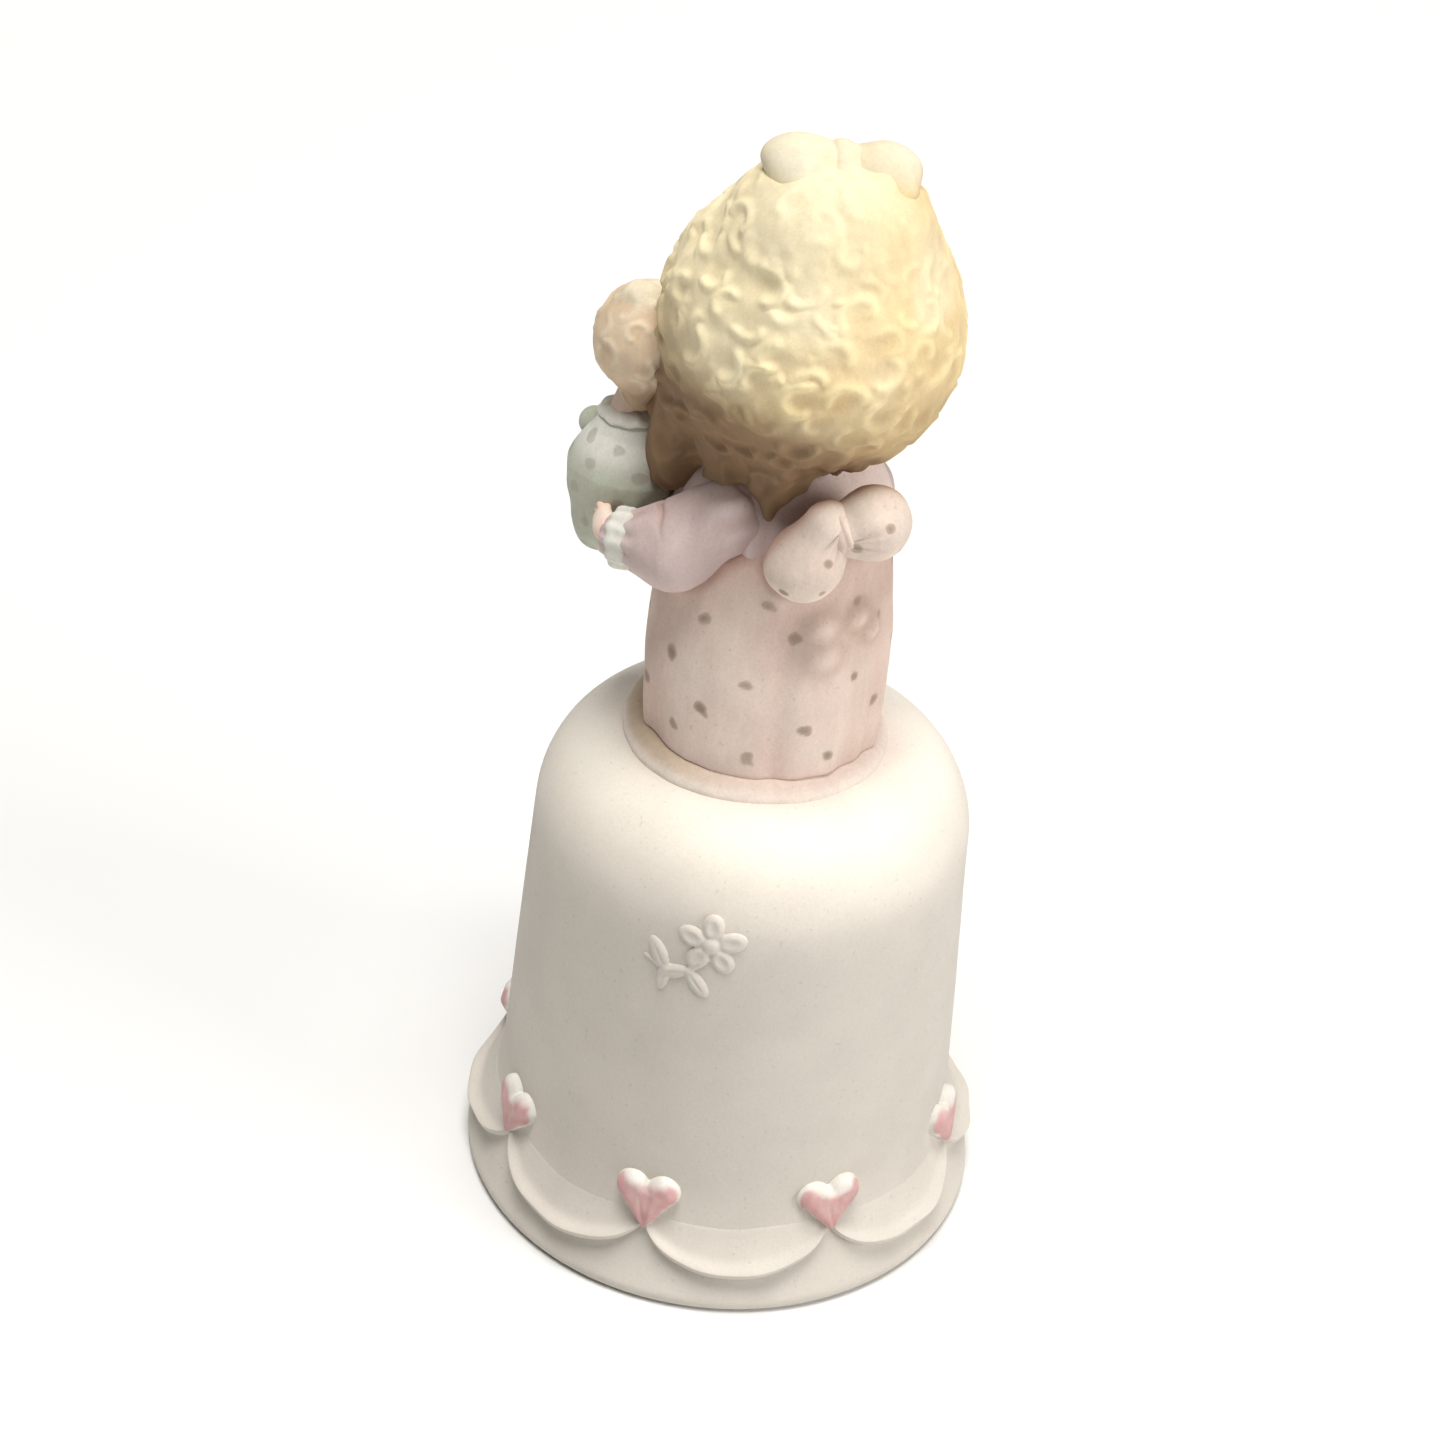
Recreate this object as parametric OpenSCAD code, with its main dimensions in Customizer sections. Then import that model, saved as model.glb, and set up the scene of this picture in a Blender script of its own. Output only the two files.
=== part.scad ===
// Porcelain hand bell with a figurine handle: a girl in a dotted dress who holds a doll.
// Origin at the centre of the mouth, on the plane the bell stands on. +Z is up,
// the figure faces -Y and its left hand is on the +X side. Millimetres.

/* [Bell] */
// Radius of the mouth, over the rounded rim
rim_r = 32; // [30:0.5:36]
// Height of the crown above the rim
crown_h = 64.6; // [62:0.2:70]
// Radius of the wall where the shoulder starts
shoulder_r = 26; // [25:0.1:27]
// Radius that rounds the shoulder
corner_r = 12.8; // [11:0.1:13]
// Wall thickness of the casting
wall_t = 3; // [2.6:0.1:3.4]
// Height where the straight wall turns into the flare
flare_h = 16; // [14:0.5:18]

/* [Relief on the bell] */
// Number of hearts, and of swags between them
sprig_count = 8; // [6:1:10]
// Width of a heart
heart_w = 7.6; // [6:0.1:8.5]
// How far a heart stands out of the wall
heart_proud = 1.5; // [1:0.1:2]
// Height of the heart's middle
heart_h = 13.8; // [13:0.1:16]
// Width of a swag at its middle
swag_w = 2.8; // [2:0.1:3.4]

/* [Figure] */
// Radius of the skirt near its hem
hem_r = 14.3; // [13.5:0.1:15]
// Radius of the waist
waist_r = 13.2; // [12:0.1:13.5]
// Height of the waist above the crown
waist_rise = 30.2; // [29:0.2:31]
// Radius of the bare head
head_r = 14.9; // [14:0.1:15.2]
// Radius over the curls
hair_r = 16.4; // [16.2:0.1:17.2]
// Height of the head's centre above the crown
head_rise = 53.8; // [53:0.2:54.4]
// Wall thickness of the hollow figure castings
cast_t = 2.6; // [2:0.1:3]

/* [Clapper] */
// Radius of the porcelain clapper bead
bead_r = 6; // [5:0.1:6.5]
// Height of the bead's centre at rest
bead_h = 17; // [16:0.5:19]
// Wire radius of the eye, link and clapper wire
wire_r = 0.6; // [0.5:0.05:0.7]

/* [Hidden] */
$fn = 64;

// Paint and material colours
bisque = [0.96, 0.94, 0.90];
heart_pink = [0.86, 0.60, 0.61];
skirt_pink = [0.88, 0.77, 0.72];
bodice_pink = [0.88, 0.79, 0.78];
bow_pink = [0.94, 0.87, 0.82];
skin = [0.96, 0.84, 0.76];
blonde = [0.93, 0.83, 0.62];
cream = [0.97, 0.94, 0.86];
doll_green = [0.74, 0.76, 0.66];
doll_tan = [0.85, 0.72, 0.58];
steel = [0.72, 0.73, 0.75];
cement = [0.80, 0.78, 0.73];

// Bell profile: rim arc, concave flare arc, straight tapered wall, shoulder arc
lip_r = 1.4;
wall_foot_r = shoulder_r + 1.9;
shoulder_c = [shoulder_r - corner_r, crown_h - corner_r];
taper = atan2(wall_foot_r - shoulder_r, shoulder_c[1] - flare_h);
wall_n = [cos(taper), sin(taper)];
lip_c = [rim_r - lip_r, lip_r];
wall_foot = [wall_foot_r, flare_h];
foot_to_lip = wall_foot - lip_c;
flare_r = (foot_to_lip * foot_to_lip - lip_r * lip_r) / (2 * (lip_r - foot_to_lip * wall_n));
flare_c = wall_foot + flare_r * wall_n;
flare_a = atan2(flare_c[1] - lip_c[1], flare_c[0] - lip_c[0]);
mouth_r = rim_r - 3.2;
mouth_a = acos((flare_c[0] - mouth_r) / (flare_r + wall_t));

// Crown fittings
boss_r = 5;
boss_drop = 4.5;
socket_r = 2.2;
socket_top = crown_h - 1.6;
boss_z = crown_h - wall_t - boss_drop;
vent_r = 1;
vent_x = 8.4;

// Hanger chain, from the eye down
eye_ring_r = 2.4;
wire_gap = 0.08;
eye_z = boss_z - 1 - eye_ring_r - wire_r;
pivot_1_z = eye_z - eye_ring_r;
link_r = 2.1;
link_long = 2.4;
link_top_z = pivot_1_z + 2 * wire_r + wire_gap;
link_mid_z = link_top_z - link_r - link_long / 2;
pivot_2_z = link_mid_z - link_long / 2 - link_r;
loop_r = 1.9;
loop_z = pivot_2_z + 2 * wire_r + wire_gap - loop_r;
bead_bore_r = wire_r + 0.05;
stop_r = 1.5;

// Figure landmarks
plinth_h = 1.6;
skirt_z = crown_h + plinth_h;
waist_z = crown_h + waist_rise;
neck_z = crown_h + 39.4;
neck_r = 5;
skirt_shift = [0.3, -0.2, 0];
head_c = [-0.5, 0.3, crown_h + head_rise];
head_turn = -20;

left_arm = [[9, 3.4, 96.6], [14.4, 0.8, 92.4], [18.9, -3.8, 92.2]];
right_arm = [[-8.8, 2, 96.6], [-12.6, -4.6, 92.2], [-5.2, -12.4, 91.6]];
doll_c = [14.6, -12.6, 0];
doll_hem_z = 84.2;
doll_neck_z = 103.4;
doll_head_c = [12.2, -13.2, 111.2];
doll_head_r = 5.8;
doll_turn = -35;
bow_left_c = [4.7, 13.4, 96.8];
bow_right_c = [-2.3, 14.8, 100.8];
bow_knot_c = [1.6, 15.4, 100];
hair_bow_c = [-0.5, 3.4, 137];

// Points of an arc from angle a0 to a1
function arc(c, r, a0, a1, n) = [for (i = [0:n]) c + r * [cos(a0 + (a1 - a0) * i / n), sin(a0 + (a1 - a0) * i / n)]];

// Radius of the bell's outside on the flare, and its outward normal, at height z
function flare_at(z) = flare_c[0] - sqrt(flare_r * flare_r - pow(z - flare_c[1], 2));
function flare_n(z) = [flare_c[0] - flare_at(z), flare_c[1] - z] / flare_r;

// Outline of the bell's outside, from the axis at the mouth up to the crown
outer_line = concat(
    arc(lip_c, lip_r, -90, flare_a, 8),
    arc(flare_c, flare_r, 180 + flare_a, 180 + taper, 16),
    arc(shoulder_c, corner_r, taper, 90, 18)
);
// Outline of the cavity, from the crown down to the mouth
inner_line = concat(
    arc(shoulder_c, corner_r - wall_t, 90, taper, 14),
    arc(flare_c, flare_r + wall_t, 180 + taper, 180 + mouth_a, 14),
    [[mouth_r, 0]]
);

// Puts children, drawn along +Z from the origin, at p pointing to q
module aim(p, q) {
    d = q - p;
    translate(p) rotate([0, acos(d[2] / norm(d)), atan2(d[1], d[0])]) children();
}

// Solid of revolution from p to q whose radius runs smoothly through r0, rm and r1, with round ends
module limb(p, q, r0, rm, r1, n = 10) {
    len = norm(q - p);
    line = [for (i = [0:n])
        let (t = i / n, b = (1 - t) * (1 - 2 * t) * r0 + 4 * t * (1 - t) * rm + t * (2 * t - 1) * r1)
        [b, len * t]];
    start_cap = [for (i = [0:4]) r0 * [sin(i * 18), -cos(i * 18)]];
    end_cap = [for (i = [1:5]) [r1 * cos(i * 18), len + r1 * sin(i * 18)]];
    aim(p, q) rotate_extrude() polygon(concat(start_cap, line, end_cap));
}

module bell_outer() {
    rotate_extrude() polygon(concat([[0, 0]], outer_line, [[0, crown_h]]));
}

module bell_shell() {
    color(bisque) difference() {
        union() {
            rotate_extrude() polygon(concat(outer_line, [[0, crown_h], [0, crown_h - wall_t]], inner_line));
            translate([0, 0, boss_z]) cylinder(r = boss_r, h = boss_drop + wall_t / 2);
        }
        translate([0, 0, boss_z - 1]) cylinder(r = socket_r, h = socket_top - boss_z + 1);
        translate([vent_x, 0, crown_h - 2 * wall_t]) cylinder(r = vent_r, h = 3 * wall_t);
    }
}

// Heart with its point down, w wide and h thick, lying in the XY plane
module heart(w, h) {
    lobe_r = w * 0.27;
    lobe_x = w / 2 - lobe_r;
    lobe_y = w * 0.2;
    for (s = [-1, 1]) translate([s * lobe_x, lobe_y, 0]) cylinder(r = lobe_r, h = h, $fn = 32);
    linear_extrude(h) polygon([[0, -w * 0.56], [w * 0.43, lobe_y - w * 0.15], [lobe_x, lobe_y + w * 0.1],
        [0, lobe_y + w * 0.16], [-lobe_x, lobe_y + w * 0.1], [-w * 0.43, lobe_y - w * 0.15]]);
}

module heart_sprigs() {
    tilt = 3;
    sunk = 1.5;
    color(heart_pink) for (i = [0:sprig_count - 1]) rotate(i * 360 / sprig_count)
        difference() {
            translate([wall_foot_r - sunk, 0, heart_h]) rotate([90, 0, 90]) rotate([tilt, 0, 0])
                heart(heart_w, sunk + heart_proud);
            bell_outer($fn = 192);
        }
}

// A swag hangs between two hearts: a cord of clay that lies on the flare and thins at its ends
swag_top_z = 10.6;
swag_drop = 4.6;
swag_steps = 22;
swag_lift = -0.05;
swag_high = 1.1;
swag_half = 180 / sprig_count - 2.2;

function swag_z(s) = swag_top_z - swag_drop * pow(1 - pow(abs(s), 2.2), 0.62);
function swag_size(s) = 1 - 0.62 * pow(abs(s), 3);

// Point on the bell's flare at angle a and height z, lifted by h along the normal
function on_flare(a, z, h) = let (n = flare_n(z), r = flare_at(z) + h * n[0]) [r * cos(a), r * sin(a), z + h * n[1]];

// One ring of the swag at share s of its half angle: three points on the bell, five over it
function swag_ring(s) = let (
    a = s * swag_half, z = swag_z(s), e = 0.02,
    along = on_flare((s + e) * swag_half, swag_z(min(1, s + e)), 0) - on_flare((s - e) * swag_half, swag_z(max(-1, s - e)), 0),
    run = norm([along[0], along[1]]) * sign(s + e), slope = atan2(along[2], norm([along[0], along[1]])),
    w = swag_w * swag_size(s) / 2, h = swag_high * swag_size(s)
) [for (b = [[-1, 0], [0, 0], [1, 0], [0.86, 0.62], [0.45, 0.93], [0, 1], [-0.45, 0.93], [-0.86, 0.62]])
    on_flare(a - b[0] * w * sin(slope) * 180 / (PI * flare_at(z)), z + b[0] * w * cos(slope), swag_lift + b[1] * h)];

module swag() {
    rings = [for (i = [0:swag_steps]) swag_ring(-1 + 2 * i / swag_steps)];
    points = [for (r = rings) each r];
    last = swag_steps * 8;
    sides = [for (i = [0:swag_steps - 1]) for (k = [0:7])
        [i * 8 + k, i * 8 + (k + 1) % 8, (i + 1) * 8 + (k + 1) % 8, (i + 1) * 8 + k]];
    polyhedron(points, concat([[for (k = [7:-1:0]) k]], sides, [[for (k = [0:7]) last + k]]), convexity = 4);
}

module swag_sprigs() {
    color(bisque) for (i = [0:sprig_count - 1]) rotate((i + 0.5) * 360 / sprig_count) swag();
}

// Small five-petalled flower with two leaves on the upper wall
module blossom_sprig() {
    blossom_a = 50;
    blossom_z = 50;
    petal_r = 1.9;
    sunk = 2;
    thick = sunk + 0.6;
    color(bisque) rotate(blossom_a) difference() {
        translate([shoulder_r - sunk, 0, blossom_z]) rotate([90, 0, 90]) rotate([-5, 0, 0]) {
            for (i = [0:4]) rotate(i * 72) translate([petal_r * 1.15, 0, 0]) cylinder(r = petal_r, h = thick, $fn = 32);
            for (s = [-1, 1]) translate([s * 5, -2.4, 0]) rotate(s * 24) intersection() {
                translate([0, 2.6, 0]) cylinder(r = 4, h = thick);
                translate([0, -2.6, 0]) cylinder(r = 4, h = thick);
            }
        }
        bell_outer($fn = 192);
    }
}

module figure_plinth() {
    sunk = 0.6;
    color(skirt_pink) difference() {
        translate(skirt_shift + [0, 0, crown_h]) rotate_extrude()
            polygon(concat([[0, -sunk], [hem_r + 0.3, -sunk]], arc([hem_r - 0.5, plinth_h - 1], 1, 0, 90, 6), [[0, plinth_h]]));
        translate(skirt_shift + [0, 0, crown_h - 1]) cylinder(r = hem_r - cast_t, h = plinth_h + 2);
        bell_outer($fn = 192);
    }
}

// Outside radius of the skirt at share t of its height, after the rolled hem
function skirt_at(t) = waist_r + (hem_r - waist_r) * pow(1 - t, 0.8);

module skirt_outer() {
    rise = waist_z - skirt_z;
    translate(skirt_shift + [0, 0, skirt_z]) rotate_extrude()
        polygon(concat([[0, 0]], arc([hem_r - 1.6, 1.6], 1.6, -80, 0, 6),
            [for (i = [1:10]) [skirt_at(i / 10), 1.6 + (rise - 1.6) * i / 10]], [[0, rise]]));
}

module dress_skirt() {
    rise = waist_z - skirt_z;
    color(skirt_pink) difference() {
        skirt_outer();
        translate(skirt_shift + [0, 0, skirt_z - 1]) cylinder(r1 = hem_r - cast_t - 0.6, r2 = waist_r - cast_t, h = rise + 2);
    }
}

module bodice_outer(gap = 0) {
    rise = neck_z - waist_z;
    translate([0, 0, waist_z]) rotate_extrude()
        polygon(concat([[0, 0]], [for (i = [0:12]) let (t = i / 12)
            [neck_r + 0.6 + gap + (waist_r - 1 - neck_r) * sqrt(max(0, 1 - pow(t, 2.6))), rise * t]], [[0, rise]]));
}

module dress_bodice() {
    rise = neck_z - waist_z;
    color(bodice_pink) difference() {
        bodice_outer();
        translate([0, 0, waist_z - 1]) cylinder(r = waist_r - cast_t - 1, h = rise / 2);
        translate([0, 0, waist_z + rise / 2 - 1.5]) cylinder(r1 = waist_r - cast_t - 1.2, r2 = neck_r - 2, h = rise / 2 + 3);
    }
}

module head_outer() {
    translate(head_c) sphere(head_r);
    translate([head_c[0], head_c[1], neck_z]) cylinder(r = neck_r, h = head_c[2] - neck_z - head_r / 2);
    translate(head_c) rotate(head_turn) translate([0, 0.5 - head_r, -3.6]) sphere(1.1);
}

module head() {
    color(skin) difference() {
        head_outer();
        translate(head_c) sphere(head_r - cast_t);
        translate([head_c[0], head_c[1], neck_z - 1]) cylinder(r = neck_r - 2, h = head_c[2] - neck_z - head_r / 2);
    }
}

module collar() {
    color(cream) difference() {
        translate([head_c[0], head_c[1], neck_z]) rotate_extrude()
            polygon(concat([[neck_r, 0]], arc([neck_r + 2.4, 0.9], 0.9, -90, 90, 8), [[neck_r, 2.2]]));
        head_outer();
    }
}

// Curls: a ball that rises to a low peak under the bow, with a nape behind the neck
module hair_outer() {
    translate(head_c) sphere(hair_r);
    translate(hair_bow_c - [0, 0.8, 5.2]) sphere(7.4);
    limb(head_c + [3.4, 7, -11.4], head_c + [5.4, 8.6, -17.2], 4.2, 3, 1.3);
}

module hair() {
    face_hole_r = 10;
    color(blonde) difference() {
        hair_outer();
        head_outer();
        translate(head_c + [0, 0, -3.6]) rotate([90, 0, head_turn]) translate([0, 0, 4.4]) cylinder(r = face_hole_r, h = head_r);
        translate([head_c[0], head_c[1], neck_z]) cylinder(r = neck_r + 3.6, h = 5);
        bodice_outer();
        translate(doll_head_c) sphere(doll_head_r + 0.9);
    }
}

module hair_bow_loop(side) {
    color(cream) difference() {
        translate(hair_bow_c) rotate(head_turn) limb([side * 1.2, 0, 0.7], [side * 5.4, 0, 0.8], 1.6, 2.8, 2.7);
        hair_outer();
        hair_bow_knot_outer();
    }
}

module hair_bow_knot_outer() {
    translate(hair_bow_c + [0, -0.2, 0.9]) sphere(1.9);
}

module hair_bow_left_loop() hair_bow_loop(1);

module hair_bow_right_loop() hair_bow_loop(-1);

module hair_bow_knot() {
    color(cream) difference() {
        hair_bow_knot_outer();
        hair_outer();
    }
}

// Things that the bow on the back leans against, with a hair of room for the slip that joins them
module behind_bow() {
    bodice_outer(0.04);
    skirt_outer();
    hair_outer();
}

module back_bow_knot_outer() {
    translate(bow_knot_c) sphere(2.5);
}

// A plump lobe turned round the line from front to back
module back_bow_loop(c, r) {
    color(bow_pink) difference() {
        translate(c) rotate([90, 0, 0]) rotate_extrude() polygon(arc([0, 0], r, -90, 90, 14));
        behind_bow();
        back_bow_knot_outer();
    }
}

module back_bow_left_loop() back_bow_loop(bow_left_c, 4.4);

module back_bow_right_loop() back_bow_loop(bow_right_c, 3.7);

module back_bow_knot() {
    color(bow_pink) difference() {
        back_bow_knot_outer();
        behind_bow();
    }
}

module sleeve_outer(arm, puff) {
    limb(arm[0], arm[1], puff, puff, puff * 0.9);
    limb(arm[1], arm[1] + 0.7 * (arm[2] - arm[1]), puff * 0.86, puff * 0.8, puff * 0.55);
}

module left_sleeve_outer() sleeve_outer(left_arm, 5.4);

module right_sleeve_outer() sleeve_outer(right_arm, 5.2);

module cuff_outer(arm) {
    u = (arm[2] - arm[1]) / norm(arm[2] - arm[1]);
    limb(arm[2] - 1.4 * u, arm[2] + u, 2.8, 3.7, 3);
}

module hand_outer(arm, turn) {
    u = (arm[2] - arm[1]) / norm(arm[2] - arm[1]);
    limb(arm[2] + 1.6 * u, arm[2] + 1.6 * u + turn, 2.2, 2.6, 1.9);
}

// Everything already in place when an arm is luted on
module under_arms() {
    behind_bow();
    doll_dress_outer();
    translate(doll_head_c) sphere(doll_head_r);
}

module left_sleeve() {
    color(bodice_pink) difference() {
        left_sleeve_outer();
        under_arms();
    }
}

module right_sleeve() {
    color(bodice_pink) difference() {
        right_sleeve_outer();
        under_arms();
    }
}

module left_cuff() {
    color(cream) difference() {
        cuff_outer(left_arm);
        under_arms();
        left_sleeve_outer();
    }
}

module right_cuff() {
    color(cream) difference() {
        cuff_outer(right_arm);
        under_arms();
        right_sleeve_outer();
    }
}

module left_hand() {
    color(skin) difference() {
        hand_outer(left_arm, [-0.2, -5.6, 1]);
        under_arms();
        cuff_outer(left_arm);
        doll_arm_pair();
    }
}

module right_hand() {
    color(skin) difference() {
        hand_outer(right_arm, [5.6, -3, 1]);
        under_arms();
        cuff_outer(right_arm);
        doll_arm_pair();
    }
}

// Doll: a flared green dress, round head with short hair, stub arms and feet
module doll_dress_outer() {
    rise = doll_neck_z - doll_hem_z;
    translate(doll_c + [0, 0, doll_hem_z]) rotate_extrude()
        polygon(concat([[0, 0]], [for (i = [0:12]) let (t = i / 12) [2.2 + 3.9 * sqrt(1 - pow(t, 4)), rise * t]], [[0, rise]]));
}

module doll_dress() {
    color(doll_green) difference() {
        doll_dress_outer();
        bodice_outer();
        skirt_outer();
    }
}

module doll_collar_outer() {
    translate([doll_c[0], doll_c[1], doll_neck_z]) rotate_extrude()
        polygon(concat([[0, 0]], arc([2.9, 0.8], 0.8, -90, 90, 6), [[0, 1.6]]));
}

module doll_collar() {
    color(cream) difference() {
        doll_collar_outer();
        translate(doll_head_c) sphere(doll_head_r);
        bodice_outer();
        hair_outer();
    }
}

module doll_head() {
    color(skin) difference() {
        translate(doll_head_c) sphere(doll_head_r);
        head_outer();
    }
}

module doll_hair() {
    color(doll_tan) difference() {
        translate(doll_head_c) sphere(doll_head_r + 0.8);
        translate(doll_head_c) sphere(doll_head_r);
        translate(doll_head_c + [0, 0, -1]) rotate([90, 0, doll_turn]) cylinder(r = 4.4, h = doll_head_r + 4);
        translate(doll_head_c + [0, 0, -doll_head_r - 2]) cylinder(r = 4.4, h = 4.4);
        head_outer();
        doll_collar_outer();
    }
}

module doll_arm_pair() {
    translate(doll_c) rotate(doll_turn) for (s = [-1, 1])
        limb([s * 4, -3, 99], [s * 3.4, -6.6, 96], 1.6, 1.7, 1.5);
}

module doll_arms() {
    color(doll_green) difference() {
        doll_arm_pair();
        doll_dress_outer();
        bodice_outer();
    }
}

module doll_feet() {
    color(cream) difference() {
        translate(doll_c) rotate(doll_turn) for (x = [-2.3, 2.3])
            limb([x, -3.2, doll_hem_z - 0.4], [x, -5.6, doll_hem_z - 0.6], 1.7, 1.7, 1.6);
        doll_dress_outer();
        skirt_outer();
    }
}

module eye_cement() {
    color(cement) translate([0, 0, boss_z]) difference() {
        union() {
            cylinder(r = socket_r, h = socket_top - boss_z);
            translate([0, 0, -0.5]) cylinder(r1 = 1.6, r2 = socket_r, h = 0.5);
        }
        translate([0, 0, -1]) cylinder(r = wire_r, h = socket_top - boss_z);
    }
}

module clapper_eye() {
    stem_top = socket_top - 1;
    color(steel) {
        translate([0, 0, eye_z]) rotate([90, 0, 0]) rotate_extrude() translate([eye_ring_r, 0]) circle(wire_r);
        translate([0, 0, eye_z + eye_ring_r]) cylinder(r = wire_r, h = stem_top - eye_z - eye_ring_r);
    }
}

// Closed wire loop, two half rings joined by straight sides, in the plane of local X and Z
module wire_oval(r, straight) {
    for (s = [0, 180]) rotate([0, s, 0]) translate([0, 0, straight / 2]) rotate([90, 0, 0])
        rotate_extrude(angle = 180) translate([r, 0]) circle(wire_r);
    for (s = [-1, 1]) translate([s * r, 0, -straight / 2]) cylinder(r = wire_r, h = straight);
}

module hanger_link() {
    color(steel) translate([0, 0, link_mid_z]) rotate(90) wire_oval(link_r, link_long);
}

module clapper_wire() {
    foot_z = bead_h - bead_r - 0.6;
    color(steel) {
        translate([0, 0, loop_z]) rotate([90, 0, 0]) rotate_extrude() translate([loop_r, 0]) circle(wire_r);
        translate([0, 0, foot_z]) cylinder(r = wire_r, h = loop_z - loop_r - foot_z);
    }
}

module clapper_bead() {
    color(bisque) translate([0, 0, bead_h]) difference() {
        union() {
            sphere(bead_r);
            cylinder(r1 = 4, r2 = 1.6, h = bead_r + 2.4);
        }
        translate([0, 0, -2 * bead_r]) cylinder(r = bead_bore_r, h = 4 * bead_r);
        translate([0, 0, -bead_r - 1]) cylinder(r = stop_r + 0.4, h = 1.4);
    }
}

module bead_stop() {
    color(steel) translate([0, 0, bead_h - bead_r - 0.6]) difference() {
        cylinder(r = stop_r, h = 1);
        translate([0, 0, -1]) cylinder(r = wire_r, h = 3);
    }
}

bell_shell();
heart_sprigs();
swag_sprigs();
blossom_sprig();
figure_plinth();
dress_skirt();
dress_bodice();
collar();
head();
hair();
hair_bow_left_loop();
hair_bow_right_loop();
hair_bow_knot();
back_bow_left_loop();
back_bow_right_loop();
back_bow_knot();
left_sleeve();
right_sleeve();
left_cuff();
right_cuff();
left_hand();
right_hand();
doll_head();
doll_hair();
doll_collar();
doll_dress();
doll_arms();
doll_feet();
eye_cement();
clapper_eye();
hanger_link();
clapper_wire();
clapper_bead();
bead_stop();
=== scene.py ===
"""Porcelain figurine bell: the looks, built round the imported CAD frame.

Lengths in this file are millimetres until a mesh is made, when MM turns them into metres.
+Z is up, the figure faces -Y and holds the doll on its +X side.
"""
import math

import bpy
import numpy as np
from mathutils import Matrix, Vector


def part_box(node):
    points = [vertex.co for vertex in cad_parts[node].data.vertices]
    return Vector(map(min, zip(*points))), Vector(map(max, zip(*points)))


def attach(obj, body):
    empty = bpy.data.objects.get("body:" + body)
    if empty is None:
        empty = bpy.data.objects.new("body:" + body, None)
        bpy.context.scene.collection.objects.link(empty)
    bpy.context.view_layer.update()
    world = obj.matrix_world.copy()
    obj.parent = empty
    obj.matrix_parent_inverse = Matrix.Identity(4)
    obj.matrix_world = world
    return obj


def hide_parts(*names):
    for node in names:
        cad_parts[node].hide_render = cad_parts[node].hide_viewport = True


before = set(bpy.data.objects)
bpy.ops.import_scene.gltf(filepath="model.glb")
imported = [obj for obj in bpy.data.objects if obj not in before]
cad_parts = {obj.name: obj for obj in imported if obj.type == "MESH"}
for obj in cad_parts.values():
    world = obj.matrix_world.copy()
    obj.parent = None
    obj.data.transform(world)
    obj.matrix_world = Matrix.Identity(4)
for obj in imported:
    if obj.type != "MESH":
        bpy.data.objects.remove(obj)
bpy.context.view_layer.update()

import openvdb
from mathutils import Matrix, Vector

MM = 0.001
TAU = 2 * math.pi
UP = np.array([0, 0, 1.0])


# ---------------------------------------------------------------- frame
def span(node):
    """Lowest and highest corner of a CAD node."""
    low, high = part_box(node)
    return np.array(low) / MM, np.array(high) / MM


def middle(node):
    """Middle of a CAD node's box."""
    low, high = span(node)
    return (low + high) / 2


def half_width(node):
    """Half the size of a CAD node along X."""
    low, high = span(node)
    return (high[0] - low[0]) / 2


RIM_R, _, CROWN_Z = span("bell_shell")[1]
PLINTH = middle("figure_plinth")
SKIRT_C, HEM_R = middle("dress_skirt"), half_width("dress_skirt")
HEM_Z, WAIST_Z = span("dress_skirt")[0][2], span("dress_skirt")[1][2]
HEAD_LOW, HEAD_HIGH = span("head")
HEAD_R = half_width("head")
HEAD_C = np.array([(HEAD_LOW[0] + HEAD_HIGH[0]) / 2, HEAD_HIGH[1] - HEAD_R, HEAD_HIGH[2] - HEAD_R])
NECK = HEAD_C * (1, 1, 0) + HEAD_LOW[2] * UP
HAIR_R = half_width("hair")
DOLL_HEAD, DOLL_HEAD_R = middle("doll_head"), half_width("doll_head")
DOLL_BASE = middle("doll_collar") * (1, 1, 0)
DOLL_COLLAR_Z = middle("doll_collar")[2]
DOLL_HEM_Z, DOLL_NECK_Z = span("doll_dress")[0][2], span("doll_dress")[1][2]
WIRE_R = (span("clapper_eye")[1][1] - span("clapper_eye")[0][1]) / 2


# ---------------------------------------------------------------- numbers
def unit(v):
    v = np.asarray(v, float)
    return v / np.linalg.norm(v, axis=-1, keepdims=True)


def step(a, b, x):
    """0 at a and 1 at b, smooth between."""
    t = np.clip((x - a) / (b - a), 0, 1)
    return t * t * (3 - 2 * t)


def bump(x, width):
    """1 at 0, falling off smoothly over about width to either side."""
    return np.exp(-((x / width) ** 2))


def noise(p, size, seed=0):
    """Smooth seeded noise from about -1 to 1 whose lumps are about size across."""
    side = 32
    table = np.random.default_rng(seed).uniform(-1, 1, (side, side, side))
    q = np.asarray(p) / size + 500
    i = np.floor(q).astype(int)
    f = q - i
    f = f * f * (3 - 2 * f)
    total = 0
    for cell in np.ndindex(2, 2, 2):
        x, y, z = (f[:, k] if cell[k] else 1 - f[:, k] for k in range(3))
        total = total + x * y * z * table[tuple(((i + cell) % side).T)]
    return total * 1.5


def level(angle):
    """Axes turned about Z by an angle, as rows. The first one points along the angle."""
    c, s = math.cos(angle), math.sin(angle)
    return np.array([[c, s, 0], [-s, c, 0], [0, 0, 1]])


def turned(p, centre, angle):
    """Points turned about the upright line through centre."""
    return (np.asarray(p, float) - centre) @ level(angle) + centre


# the level way to the doll's side and the way back from it, square to each other
DOLL_SIDE, BACK_SIDE, _ = level(math.radians(-30))


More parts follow.
